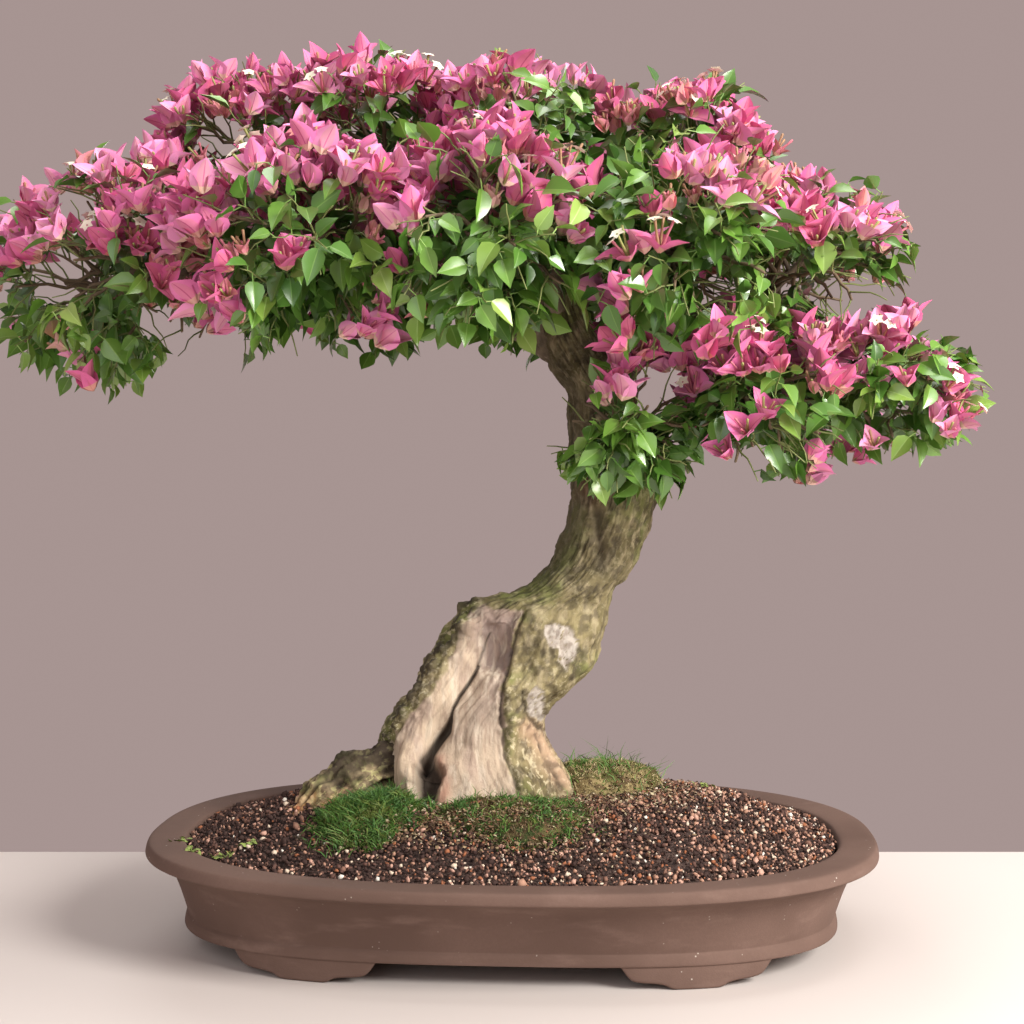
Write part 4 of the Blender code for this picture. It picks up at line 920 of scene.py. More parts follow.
def makeTrunk():
    skin, fibre = trunkSkin()
    columns = skin.shape[1]
    normals = gridNormals(skin).reshape(-1, 3)
    points, fibre = skin.reshape(-1, 3), fibre.reshape(-1, 3)
    x, z = points[:, 0], points[:, 2]
    front = ease(0.20, -0.25, fibre[:, 1])
    wander = noiseAt(points, scale=110, offset=4.2, octaves=3) * trunk["wander"]
    blotch = noiseAt(points, scale=130, offset=5.5, octaves=3)
    flakes = noiseAt(points, scale=330, offset=6.6, octaves=2)
    fibre = fibre * (trunk["fibre"], trunk["fibre"], 1)
    ridges = noiseAt(fibre, scale=(210, 210, 48), offset=2.4, octaves=3)
    grain = noiseAt(fibre, scale=(420, 420, 22), offset=8.8, octaves=3)
    furrows = np.abs(noiseAt(points, scale=(95, 95, 60), offset=3.3, octaves=2))

    strength, lineRelief, lineDark = {}, 0, 0        # each line's strength, and what all of them add
    for line, (width, rise, darkness, places) in woodLines.items():
        distance, _ = lineDistance(x + wander * 0.4, z + wander * 0.3, places)
        strength[line] = np.exp(-(distance / width) ** 2) * front
        lineRelief = lineRelief + strength[line] * rise
        lineDark = np.maximum(lineDark, strength[line] * darkness)
    strip, (stripRise, stripBlotch) = strength["darkStrip"], trunk["strip"]
    distance, share = lineDistance(x + wander * 0.2, z + wander * 0.2, woodGroove)
    slot = ease(*trunk["slotFrom"], share)
    (grooveWidth, grooveDepth), (slotWidth, slotDepth) = trunk["groove"], trunk["slot"]
    groove = np.exp(-(distance / (grooveWidth + slotWidth * slot)) ** 2) * front

    inside = {}
    for patch, (sway, outline) in woodPatches.items():
        inside[patch] = insideDistance(x, z, outline) + wander * sway
    bare = ease(-trunk["bareEdge"], trunk["bareEdge"], inside["bare"]) * front
    callus = np.exp(-((inside["bare"] + trunk["callusPlace"]) / trunk["callusWidth"]) ** 2) * front
    hollow = ease(*trunk["hollowEdge"], inside["greyHollow"]) * front
    cavity = ease(-trunk["cavityEdge"], trunk["cavityEdge"], inside["cavity"]) * front
    whites = np.maximum(inside["whiteHigh"], inside["whiteLow"])
    chalk = ease(-trunk["chalkEdge"], trunk["chalkEdge"], whites) * front
    edge = trunk["chalkRim"]
    whiteRims = [ease(-edge, edge, inside[patch]) * front for patch in ("whiteHigh", "whiteLow")]

    barkRelief = ridges * trunk["ridges"] + flakes * trunk["flakes"] - furrows * trunk["furrows"]
    relief = reliefOf(points, trunk["lumps"])
    relief += barkRelief * (1 - bare) + grain * trunk["grain"] * bare + lineRelief
    relief += trunk["callus"] * callus
    relief -= trunk["bareDepth"] * ease(0, trunk["bareDepthFrom"], inside["bare"]) * front
    relief -= trunk["hollowDepth"] * hollow + trunk["cavityDepth"] * cavity + trunk["chalkDepth"] * chalk
    relief += strip * (stripRise + stripBlotch * blotch) - groove * (grooveDepth + slotDepth * slot)
    points = points + normals * relief[:, None]

    white = chalk * ease(-0.58, -0.40, flakes)
    # Rims round the white patches, darkened below: partly their own dark edging, partly painted shadow at
    # their margins
    rim = np.clip(sum(whiteRims), 0, 1) * (1 - white)
    # Crevices: painted shade in the bark's furrows, and on the bare wood darker low lines of its grain
    crevice = ease(0.0002, 0.0020, -barkRelief) * (1 - bare) + ease(0.10, 0.60, -grain) * 0.26 * bare
    # Painted shade on the upper trunk's left-facing side, partly standing for its dark bark
    darkAndShade = ease(0.235, 0.262, z) * ease(-0.25, -0.80, normals[:, 0])
    # The dark mask: the dark lines, strip, spots and blotches, with painted shade in the cavity, down the
    # groove and its slot, in the furrows, on the upper left side and, partly, round the white patches
    dark = np.maximum.reduce((
        lineDark, cavity, crevice * 0.80, darkAndShade * 0.55, ease(0.20, 0.70, groove) * 0.95,
        strip * (0.20 + 0.78 * ease(-0.14, 0.08, blotch)), rim * 0.70 * ease(-0.25, 0.15, blotch),
        strength["spots"] * ease(-0.15, 0.15, blotch) * 0.8, (1 - bare) * ease(0.12, 0.36, blotch) * 0.55))
    dark = dark * (1 - 0.85 * white)
    besideGroove = ease(0.010, 0.020, distance) * (x > -0.045) * ease(0.13, 0.17, z)
    tone = 0.55 + 0.50 * strength["creamRidge"] + 0.20 * ease(0.16, 0.12, z)
    # The grey hollow's wood is darker: partly its own grey, partly painted shade in the hollow
    tone = tone - 0.62 * hollow - 0.25 * besideGroove
    lichen = strip * 0.80 + ease(0.25, 0.13, z) * 0.7 * (1 - bare) + strength["tanFoot"]
    reddish = np.maximum(strength["rust"], strength["cavityLip"] * 0.8)
    cap = points[-columns:].mean(0) + (0, 0, trunk["capHeight"])
    points, groups = closedSkin(points, columns, points[:columns].mean(0), cap)
    piece = addPiece("trunkBark", points, groups, [barkLook()], ["trunk"])
    addPointColour(piece, "woodMask", bare, dark, white)
    addPointColour(piece, "woodTone", tone, reddish, lichen)
    addPointColour(piece, "woodExtra", strength["tanFoot"], ease(0.22, 0.27, z))


def barkLook():
    bark = NodeLook("trunkBark", 0.85, Specular_IOR_Level=0.3)
    bare, dark, white = bark.channels("woodMask")
    tone, rust, lichen = bark.channels("woodTone")
    tan, high, _ = bark.channels("woodExtra")
    low = bark.patches((0.170, 0.140, 0.065), (0.300, 0.250, 0.125), 34, 4, 0.38, 0.62)
    upper = bark.patches((0.085, 0.070, 0.030), (0.200, 0.165, 0.085), 34, 4, 0.38, 0.62)
    live = bark.mix(high, low, upper)
    live = bark.patches(live, (0.360, 0.300, 0.180), 120, 3, 0.48, 0.66, 0.8, (1, 1, 0.4))
    live = bark.patches(live, (0.150, 0.175, 0.045), 22, 3, 0.50, 0.64, 0.65)
    spots = bark.spread(bark.noise(230, 4, rough=0.6), 0.53, 0.60)
    live = bark.mix(bark.times(spots, bark.spread(lichen, 0, 1, 0.15, 0.80)), live, (0.600, 0.530, 0.340))
    live = bark.mix(bark.times(tan, 0.75), live, (0.520, 0.340, 0.230))
    live = bark.mix(bark.times(rust, 0.6), live, (0.150, 0.052, 0.026))
    dead = bark.mix(tone, (0.250, 0.190, 0.160), (0.590, 0.465, 0.330))
    dead = bark.patches(dead, (0.640, 0.550, 0.430), 150, 4, 0.46, 0.66, 0.6, (1, 1, 0.12))
    dead = bark.patches(dead, (0.260, 0.180, 0.130), 260, 3, 0.50, 0.62, 0.45, (1, 1, 0.1))
    dead = bark.patches(dead, (0.360, 0.260, 0.215), 45, 3, 0.50, 0.66, 0.45, (1, 1, 0.5))
    dead = bark.mix(bark.times(rust, 0.8), dead, (0.270, 0.115, 0.075))
    chalk = bark.patches((0.480, 0.430, 0.370), (0.310, 0.262, 0.215), 180, 3, 0.4, 0.65)
    colour = bark.mix(white, bark.mix(bare, live, dead), chalk)
    # Near black by the dark mask: its dark marks, and painted shade in the cavity, the groove, the furrows
    # and on the upper left side
    colour = bark.mix(bark.times(dark, 0.94), colour, (0.030, 0.021, 0.015))
    bark.bump(bark.noise(650, 5, (1, 1, 0.6)), 0.0009, 0.6)
    return bark.finish(colour, bark.spread(bark.noise(90, 2), 0.3, 0.7, 0.72, 0.95))


makeTrunk()


# The old dead root knob at the left of the trunk

root = dict(
    points=((-0.085, -0.006, 0.122), (-0.118, -0.018, 0.112), (-0.142, -0.032, 0.094),
            (-0.160, -0.040, 0.076)),
    radii=(0.017, 0.019, 0.016, 0.012),
    rows=110, columns=96, flute=0.0042,
    lumps=((55, 2.2, 3, 0.0042), (240, 7.0, 2, 0.0012)),     # noise scale, its offset, octaves, height
    pit=(-0.124, 0.113, 0.0085, 0.009),      # the small hole in its front: x, z, how wide and how deep
)


def makeRoot():
    columns = root["columns"]
    steps = np.linspace(0, 1, root["rows"])
    line = cutCorners(root["points"], 4)
    centres = np.stack([np.interp(steps, np.linspace(0, 1, len(line)), row) for row in line.T], axis=-1)[None]
    radii = np.interp(steps, np.linspace(0, 1, len(root["radii"])), root["radii"])[None]
    skin = tubePoints(centres, radii, columns)[0]
    body, tip = skin[:-1], skin[-1:]
    normals = unit(body - np.repeat(centres[0], columns, axis=0))
    pitX, pitZ, pitWidth, pitDepth = root["pit"]
    pit = np.exp(-(((body[:, 0] - pitX) / pitWidth) ** 2 + ((body[:, 2] - pitZ) / (pitWidth * 0.6)) ** 2))
    pit *= body[:, 1] < -0.012
    lumps = reliefOf(body, root["lumps"])
    around = np.tile(np.arange(columns) * math.tau / columns, root["rows"])
    fibre = np.stack((np.cos(around), np.sin(around), np.repeat(steps, columns)), axis=-1)
    flutes = noiseAt(fibre, scale=(3.4, 3.4, 1.6), offset=5.1, octaves=3)
    body = body + normals * (lumps + flutes * root["flute"] - pitDepth * pit)[:, None]
    low = ease(0.110, 0.092, body[:, 2] + noiseAt(body, scale=90, offset=1.1) * 0.008)
    top = ease(0.110, 0.119, body[:, 2] + noiseAt(body, scale=60, offset=4.1) * 0.014) * 0.92
    # Darkness: the top's own dark wood, with painted shade in the pit, the flutes' hollows and between the
    # lumps
    dark = np.maximum.reduce((pit, ease(0.02, 0.30, -flutes) * 0.75, ease(0.0012, 0.0040, -lumps) * 0.7, top))
    old = NodeLook("oldRoot", 0.88, Specular_IOR_Level=0.25)
    tan, darkAndShade, _ = old.channels("rootMask")
    colour = old.patches((0.110, 0.080, 0.050), (0.330, 0.260, 0.150), 70, 4, 0.38, 0.62)
    colour = old.patches(colour, (0.47, 0.42, 0.20), 210, 4, 0.53, 0.60, 0.9)
    colour = old.patches(colour, (0.120, 0.135, 0.040), 44, 2, 0.56, 0.68, 0.7)
    tanFoot = old.patches((0.38, 0.185, 0.080), (0.60, 0.42, 0.24), 160, 3, 0.4, 0.6, 1.0, (1, 1, 0.3))
    colour = old.mix(tan, colour, tanFoot)
    # Near black by the second channel: the dark top, and painted shade in the hollows
    colour = old.mix(old.times(darkAndShade, 0.9), colour, (0.028, 0.020, 0.014))
    old.bump(old.noise(500, 5), 0.001, 0.7)
    points, groups = closedSkin(body, columns, body[:columns].mean(0), tip)
    piece = addPiece("rootKnob", points, groups, [old.finish(colour)], ["surface_root"])
    addPointColour(piece, "rootMask", low, dark)


makeRoot()


# Camera, light and table: their values. The growth reads where the camera stands for its places of bloom.

studio = dict(
    distance=1.15, height=0.3292, tilt=math.radians(0.92), yaw=math.radians(3.57), lens=53.67, sensor=36,
    tableHalf=1.6, tableBack=0.207, tableFront=1.9,
    tableColour=(0.62, 0.565, 0.53), backdrop=(0.385, 0.298, 0.286), ambient=1.0,
    lights=(                         # name, place from the pot, aimed at, width, watts, colour
        ("keyLight", (1.30, -0.95, 1.00), (0.0, 0.0, 0.30), 0.8, 54, (1.0, 0.97, 0.93)),
        ("fillLight", (-0.7, -1.8, 1.0), (0.0, 0.0, 0.40), 1.8, 13, (0.96, 0.98, 1.0)),
        ("topLight", (0.2, 0.0, 1.9), (0.0, 0.0, 0.4), 1.2, 21, (1.0, 0.99, 0.97)),
        ("backLight", (-0.6, 1.6, 1.2), (0.0, 0.0, 0.4), 1.2, 10, (1.0, 0.99, 0.97)),
    ),
)


# Masses of foliage: middle, reach each way, what carries the bough, where along it, radius at its root,
# and the share of blossom
masses = {
    "left_tip": ((-0.330, 0.000, 0.484), (0.078, 0.110, 0.088), "trunk", 0.330, 0.0145, 0.45),
    "centre_top": ((0.010, 0.010, 0.584), (0.088, 0.120, 0.074), "trunk", 0.380, 0.0115, 0.90),
    "right_top": ((0.128, 0.010, 0.566), (0.084, 0.115, 0.074), "trunk", 0.352, 0.0110, 0.80),
    "outer_upper": ((0.214, -0.050, 0.494), (0.078, 0.092, 0.056), "trunk", 0.292, 0.0105, 0.50),
    "low_right": ((0.268, -0.026, 0.396), (0.076, 0.092, 0.052), "trunk", 0.252, 0.0105, 0.55),
    "low_front": ((0.088, -0.085, 0.368), (0.060, 0.060, 0.056), "trunk", 0.222, 0.0070, 0.30),
    "centre_back": ((0.010, 0.170, 0.512), (0.090, 0.084, 0.078), "trunk", 0.310, 0.0095, 0.65),
    "left_front": ((-0.262, -0.088, 0.484), (0.074, 0.092, 0.088), "left_tip", 0.60, 0.0065, 0.65),
    "left_back": ((-0.248, 0.092, 0.508), (0.080, 0.092, 0.080), "left_tip", 0.68, 0.0060, 0.65),
    "left_top": ((-0.195, 0.004, 0.578), (0.084, 0.096, 0.078), "left_tip", 0.46, 0.0070, 0.90),
    "midleft_front": ((-0.130, -0.148, 0.492), (0.088, 0.090, 0.076), "left_tip", 0.20, 0.0080, 0.60),
    "midleft_back": ((-0.130, 0.158, 0.512), (0.088, 0.088, 0.076), "left_tip", 0.29, 0.0075, 0.65),
    "midleft_top": ((-0.104, 0.008, 0.584), (0.086, 0.118, 0.076), "centre_top", 0.40, 0.0080, 0.90),
    "centre_front": ((-0.006, -0.165, 0.492), (0.088, 0.082, 0.076), "trunk", 0.352, 0.0080, 0.50),
    "right_front": ((0.120, -0.150, 0.488), (0.080, 0.088, 0.078), "right_top", 0.36, 0.0070, 0.50),
    "right_back": ((0.124, 0.152, 0.508), (0.084, 0.088, 0.076), "right_top", 0.56, 0.0065, 0.65),
    "outer_back": ((0.216, 0.096, 0.498), (0.076, 0.088, 0.062), "outer_upper", 0.45, 0.0060, 0.65),
    "low_middle": ((0.176, -0.080, 0.388), (0.066, 0.080, 0.060), "low_right", 0.40, 0.0060, 0.35),
    "low_back": ((0.205, 0.080, 0.394), (0.080, 0.084, 0.056), "low_right", 0.50, 0.0060, 0.55),
}
bough = dict(
    tipRadius=0.0032, entry=0.62, rise=0.16, along=0.45, leave=0.36, arrive=0.30,
    sway=0.030, bends=2.6, taper=0.8,
    rows=72, columns=20, collar=0.45, collarLength=2.2, gnarl=0.13,
    grain=((130, 1.7, 3, 0.0013), (420, 4.4, 2, 0.0005)),    # noise scale, its offset, octaves, height
)


def lineAt(line, share):             # point, radius and direction at a share of a line's points
    place = min(max(share, 0), 0.9999) * (len(line) - 1)
    index = int(place)
    rest = place - index
    (low, lowRadius), (high, highRadius) = line[index], line[index + 1]
    return low.lerp(high, rest), lowRadius + (highRadius - lowRadius) * rest, (high - low).normalized()


def stretched(way, reach):           # a direction's length, measured in a mass's own reaches
    return math.sqrt(sum((way[axis] / reach[axis]) ** 2 for axis in range(3)))


def trunkLine():
    line = []
    for height, left, right, halfDepth, shift in trunk["sections"]:
        middle = Vector(((left + right) / 2, shift, trunk["base"] + height))
        line.append((middle, max((right - left) / 2, halfDepth)))
    return line


def trunkShare(height):
    heights = [section[0] for section in trunk["sections"]]
    for index, (low, high) in enumerate(zip(heights, heights[1:])):
        if height <= high:
            return (index + (height - low) / (high - low)) / (len(heights) - 1)
    return 1.0


def boughLine(name, lines):          # a bough's points and radii, from inside what carries it to its mass
    middle, reach, parent, place, radius, _ = masses[name]
    middle = Vector(middle)
    share = trunkShare(place) if parent == "trunk" else place
    start, _, along = lineAt(lines[parent], share)
    inward = (start - middle).normalized()
    tip = middle + inward * (bough["entry"] / stretched(inward, reach))
    span = tip - start
    length = span.length
    out = (span.normalized() + bough["along"] * along).normalized()
    arrive = (middle - tip).normalized()
    lift = Vector((0, 0, bough["rise"] * length * (1 - abs(span.normalized().z))))
    first = start + out * length * bough["leave"] + lift / 2
    second = tip - arrive * length * bough["arrive"] + lift
    phase = random.Random(name).uniform(0, 2 * math.pi)
    side = span.cross(Vector((0, 0, 1))).normalized()
    line = []
    for i in range(bough["rows"]):
        t = i / (bough["rows"] - 1)
        point = start * (1 - t) ** 3 + first * 3 * t * (1 - t) ** 2
        point = point + second * 3 * t * t * (1 - t) + tip * t ** 3
        sway = bough["sway"] * length * math.sin(bough["bends"] * math.pi * t + phase) * math.sin(math.pi * t)
        line.append((point + side * sway, radius + (bough["tipRadius"] - radius) * t ** bough["taper"]))
    return line


lines = {"trunk": trunkLine()}
for massName in masses:
    lines[massName] = boughLine(massName, lines)


def makeBoughs():
    rows, columns = bough["rows"], bough["columns"]
    centres = np.array([[point for point, _ in lines[name]] for name in masses])
    radii = np.array([[radius for _, radius in lines[name]] for name in masses])
    walked = np.linalg.norm(np.diff(centres, axis=1, prepend=centres[:, :1]), axis=-1).cumsum(axis=1)
    radii = radii * (1 + bough["collar"] * np.exp(-walked / (bough["collarLength"] * radii[:, :1])))
    flat = centres.reshape(-1, 3)
    knuckles = 1 + bough["gnarl"] * noiseAt(flat, scale=45, offset=3.0).reshape(radii.shape)
    skins = tubePoints(centres, radii * knuckles, columns)
    body = skins[:, :-1].reshape(-1, 3)
    out = unit(body - np.repeat(flat, columns, axis=0))
    grain = reliefOf(body, bough["grain"])
    skins[:, :-1] = (body + out * grain[:, None]).reshape(len(masses), -1, 3)
    bark = NodeLook("boughBark", 0.85, Specular_IOR_Level=0.3)
    colour = bark.patches((0.085, 0.062, 0.040), (0.200, 0.160, 0.105), 40, 4, 0.36, 0.64)
    colour = bark.patches(colour, (0.330, 0.280, 0.200), 190, 3, 0.52, 0.66, 0.7)
    colour = bark.patches(colour, (0.045, 0.032, 0.022), 95, 3, 0.50, 0.64, 0.6)
    bark.bump(bark.noise(600, 4), 0.0008, 0.6)
    groups = [(faces, 0) for faces in tubeFaces(len(masses), rows, columns)]
    addPiece("boughs", skins.reshape(-1, 3), groups, [bark.finish(colour)],
             ["bough_" + name for name in masses])


makeBoughs()


# Twigs, shoots, leaves and blossom, grown on from the boughs in each mass's own space

growth = dict(
    stemPast=0.25, stemStraight=0.35, stemPoints=10, stemWaver=0.0012, rooted=0.004,
    twigs=18, twigPoints=8, twigReach=0.72, firstTwig=0.20, twigBow=0.10, twigWaver=0.0016,
    twigRadius=0.0020, twigTip=0.0010, drawBack=0.88, shortest=0.014,
    shoots=11, shootPoints=5, shootLength=(0.022, 0.052), shortestShoot=0.010, firstShoot=0.30,
    shootBow=0.10, shootWaver=0.0010, shootRadius=0.0009, shootTip=0.00045,
    bareScale=21, bareBelow=-0.12,   # shoots stay bare where a slow noise is low, which leaves gaps
    bareKept=0.5, skyKept=0.10,      # the shares of bare shoots kept there and where the wall shows through
    # A shoot's heading: how much of the twig's way, of the way across it, outward and up
    shootHeading=(0.55, 0.85, 0.45, 0.18), shootShrink=0.85,
    # A leaf's heading along its shoot, across it and outward, how it strays and how far it hangs
    leafHeading=(0.50, 0.85, 0.35), leafStray=0.30, hang=0.40, hangSpread=(-0.3, 1.7), leafTurn=2.4,
    # A leaf's face: how much it looks outward, how it strays and how much it looks up
    faceOut=(0.1, 1.0), faceStray=0.45, faceUp=(0.4, 1.1),
    leafStep=0.0056, leafSize=(0.72, 1.0), endLeafSize=(0.5, 0.8), margin=0.0008,
    bloomHeading=(0.25, 0.42, 1.0),  # how much a cluster looks along its shoot, outward and up
    bloomLight=(0.22, 0.95),         # the share of blossom in the shade, and what the open sky adds
    bySpray=0.75,                    # how much of a colour goes by the spray, the rest by the leaf or bloom
    reachWaver=0.22, waverScale=15,  # how unevenly the masses fill their spaces
    bloomDeep=0.74, bloomOut=1.11, bloomGap=0.0094,
    bloomAhead=(0.012, 0.026, 0.015, 0.014),     # where along it a bloom is tested: gap, depth, sky, reach
    cluster=(3, 7), clusterSpread=0.0112, clusterSink=0.4, clusterLean=0.45, clusterStray=0.16,
    bloomClear=0.0132, limbClear=0.0035,             # what leaves keep clear of blooms and of limbs
    # How far leaves and blooms may lie from the part's middle in x and y, and how far a bloom reaches
    crownReach=(0.384, 0.249), bloomReach=0.019,
)
leaf = dict(
    length=(0.0142, 0.0254), widthShare=(0.56, 0.74), petiole=(0.003, 0.007), petioleRadius=0.00045,
    rows=((0.06, 0.48), (0.22, 0.93), (0.44, 1.00), (0.68, 0.66), (0.87, 0.24)),
    columns=(-1.0, -0.06, 0.06, 1.0),
    cup=0.42, arch=(0.05, 0.42), ripple=0.045, topShade=0.40, deepShade=0.35,
    tipOut=1.10, middleOut=1.04,     # how far out of the crown a leaf's tip and middle may lie
    tones=(                          # share of the sprays, blade colour, midrib colour
        (0.13, (0.038, 0.102, 0.015), (0.080, 0.160, 0.034)),
        (0.25, (0.070, 0.172, 0.022), (0.130, 0.250, 0.052)),
        (0.28, (0.112, 0.238, 0.030), (0.190, 0.330, 0.070)),
        (0.17, (0.175, 0.300, 0.046), (0.250, 0.390, 0.096)),
        (0.10, (0.255, 0.370, 0.078), (0.340, 0.460, 0.140)),
        (0.07, (0.300, 0.170, 0.085), (0.360, 0.250, 0.120)),
    ),
)
blossom = dict(
    bracts=3, length=(0.0170, 0.0248), widthShare=(0.62, 0.82), tilt=(0.12, 0.50),
    rows=((0.06, 0.40), (0.20, 0.84), (0.40, 1.00), (0.62, 0.90), (0.81, 0.58), (0.93, 0.26)),
    columns=(-1.0, -0.52, -0.05, 0.05, 0.52, 1.0), cup=0.52, arch=(0.14, 0.52), ripple=0.075, topSmaller=0.08,
    tones=(                          # share of the clusters, main colour, base colour, vein colour
        (0.35, (0.680, 0.200, 0.340), (0.690, 0.380, 0.320), (0.500, 0.085, 0.215)),
        (0.24, (0.730, 0.310, 0.420), (0.760, 0.500, 0.410), (0.600, 0.160, 0.310)),
        (0.18, (0.590, 0.135, 0.240), (0.610, 0.280, 0.230), (0.420, 0.060, 0.150)),
        (0.15, (0.640, 0.265, 0.240), (0.620, 0.390, 0.270), (0.500, 0.160, 0.150)),
        (0.08, (0.560, 0.350, 0.240), (0.520, 0.420, 0.250), (0.420, 0.240, 0.160)),
    ),
    edgeShift=(1.07, 0.92, 1.22),    # how the edges' colour differs from the main one
    old=3, oldSize=0.68, oldOpening=0.6,     # from this tone on blooms are older: smaller and more closed
    tubeLength=(0.012, 0.017), tubeRadius=0.0010, tubeLean=0.30,
    tubeRows=((0.02, 0.8), (0.35, 1.15), (0.72, 0.75), (1.0, 1.0)),      # shares of the length and the radius
    starShare=0.10, starOpen=0.65, starOpening=0.40, starTube=1.35, starSize=0.0056, starPoints=5,
    tubeTones=((0.340, 0.190, 0.100), (0.480, 0.140, 0.180), (0.290, 0.300, 0.095)),
)
# Where more or less of the plant is in bloom than its mass's share says: middle as (x, z) seen from the
# front, radius, and what it adds
bloomPlaces = (
    ((0.044, 0.602), 0.036, -1.70), ((0.060, 0.510), 0.030, -0.60), ((0.195, 0.496), 0.045, -0.60),
    ((0.030, 0.470), 0.045, -0.35), ((-0.150, 0.440), 0.070, -0.40), ((-0.020, 0.430), 0.080, -0.45),
    ((-0.310, 0.415), 0.050, -0.35), ((0.198, 0.392), 0.034, -0.35), ((0.100, 0.340), 0.060, -0.15),
    ((-0.260, 0.480), 0.060, 0.60), ((-0.210, 0.600), 0.090, 1.10), ((-0.080, 0.620), 0.090, 0.85),
    ((0.080, 0.620), 0.080, 0.60), ((0.185, 0.580), 0.050, 0.95), ((0.105, 0.445), 0.045, 0.55),
    ((0.258, 0.410), 0.060, 0.75), ((-0.100, 0.545), 0.075, 0.65), ((0.005, 0.512), 0.032, 1.50),
    ((0.102, 0.482), 0.028, 1.30), ((0.198, 0.448), 0.026, -0.60), ((-0.300, 0.540), 0.050, 0.45),
    ((-0.295, 0.460), 0.045, 0.20), ((0.200, 0.560), 0.050, 0.40), ((-0.108, 0.478), 0.022, 0.80),
    ((0.010, 0.556), 0.036, 0.60), ((0.155, 0.425), 0.028, 1.00), ((-0.150, 0.625), 0.070, 0.40),
    ((0.092, 0.572), 0.030, -1.40),
)
# Where the wall, or at last the trunk, shows through the crown from the front: middle as (x, z), half width
# and half height
skyPlaces = (
    ((0.250, 0.470), (0.031, 0.018)), ((0.153, 0.474), (0.017, 0.014)), ((0.110, 0.405), (0.021, 0.020)),
    ((0.172, 0.348), (0.024, 0.011)), ((0.202, 0.486), (0.016, 0.013)), ((-0.223, 0.598), (0.019, 0.017)),
    ((-0.268, 0.452), (0.018, 0.014)), ((-0.342, 0.490), (0.027, 0.024)),
    ((-0.336, 0.545), (0.021, 0.014)), ((-0.232, 0.434), (0.030, 0.019)), ((0.038, 0.391), (0.022, 0.036)),
)


def planesOf(name):                  # a mass's walls towards its neighbours: direction and distance
    middle, reach = Vector(masses[name][0]), masses[name][1]
    walls = []
    for other, (otherMiddle, otherReach, *_) in masses.items():
        if other == name:
            continue
        toOther = Vector(otherMiddle) - middle
        way = toOther.normalized()
        own, theirs = 1 / stretched(way, reach), 1 / stretched(way, otherReach)
        walls.append((way, toOther.length * own / (own + theirs)))
    return walls


def inSpace(point, middle, reach, walls):
    offset = point - middle
    scale = 1 - growth["reachWaver"] * max(0, noise.noise(point * growth["waverScale"]))
    if stretched(offset, reach) > scale:
        return False
    return all(offset.dot(way) <= wall - growth["margin"] for way, wall in walls)


# Where places lie from the front, as (x, z) on the upright plane through the pot's middle
def seenFromFront(points):
    eyeX, eyeY = math.sin(studio["yaw"]) * studio["distance"], -math.cos(studio["yaw"]) * studio["distance"]
    points = np.atleast_2d(np.asarray(points, float))
    share = -eyeY / (points[:, 1] - eyeY)
    return eyeX + share * (points[:, 0] - eyeX), studio["height"] + share * (points[:, 2] - studio["height"])


def bloomShare(place, share):        # the share of blossom at a place in the crown
    seenX, seenZ = seenFromFront(place)
    for (x, z), radius, added in bloomPlaces:
        share += added * math.exp(-((seenX[0] - x) ** 2 + (seenZ[0] - z) ** 2) / radius ** 2)
    return share


def underSky(points):                # true where the wall should show through
    seenX, seenZ = seenFromFront(points)
    inside = np.zeros(len(seenX), bool)
    for (x, z), (halfX, halfZ) in skyPlaces:
        inside |= ((seenX - x) / halfX) ** 2 + ((seenZ - z) / halfZ) ** 2 < 1
    return inside


def evenDirection(index, count, turn):
    z = 1 - 2 * (index + 0.5) / count
    around = index * goldenAngle + turn
    flat = math.sqrt(max(0, 1 - z * z))
    return Vector((flat * math.cos(around), flat * math.sin(around), z))


massMiddles = np.array([row[0] for row in masses.values()])
massReaches = np.array([row[1] for row in masses.values()])


def depthInCrown(points):            # 0 in the middle of a mass, 1 at the crown's outside, more beyond it
    offset = (np.asarray(points)[:, None] - massMiddles) / massReaches
    return np.linalg.norm(offset, axis=-1).min(axis=1)


def acrossWay(way, spin):            # a direction across another one, turned round it
    side = way.orthogonal().normalized()
    return side * math.cos(spin) + way.cross(side) * math.sin(spin)


def scatter(dice, *spreads):
    return Vector([dice.gauss(0, spread) for spread in spreads])


def bendLine(start, bend, end, count, dice, waver):
    made = []
    for i in range(count):
        t = i / (count - 1)
        point = start.lerp(bend, t).lerp(bend.lerp(end, t), t)
        made.append(point + scatter(dice, *[waver * math.sin(math.pi * t)] * 3))
    return made


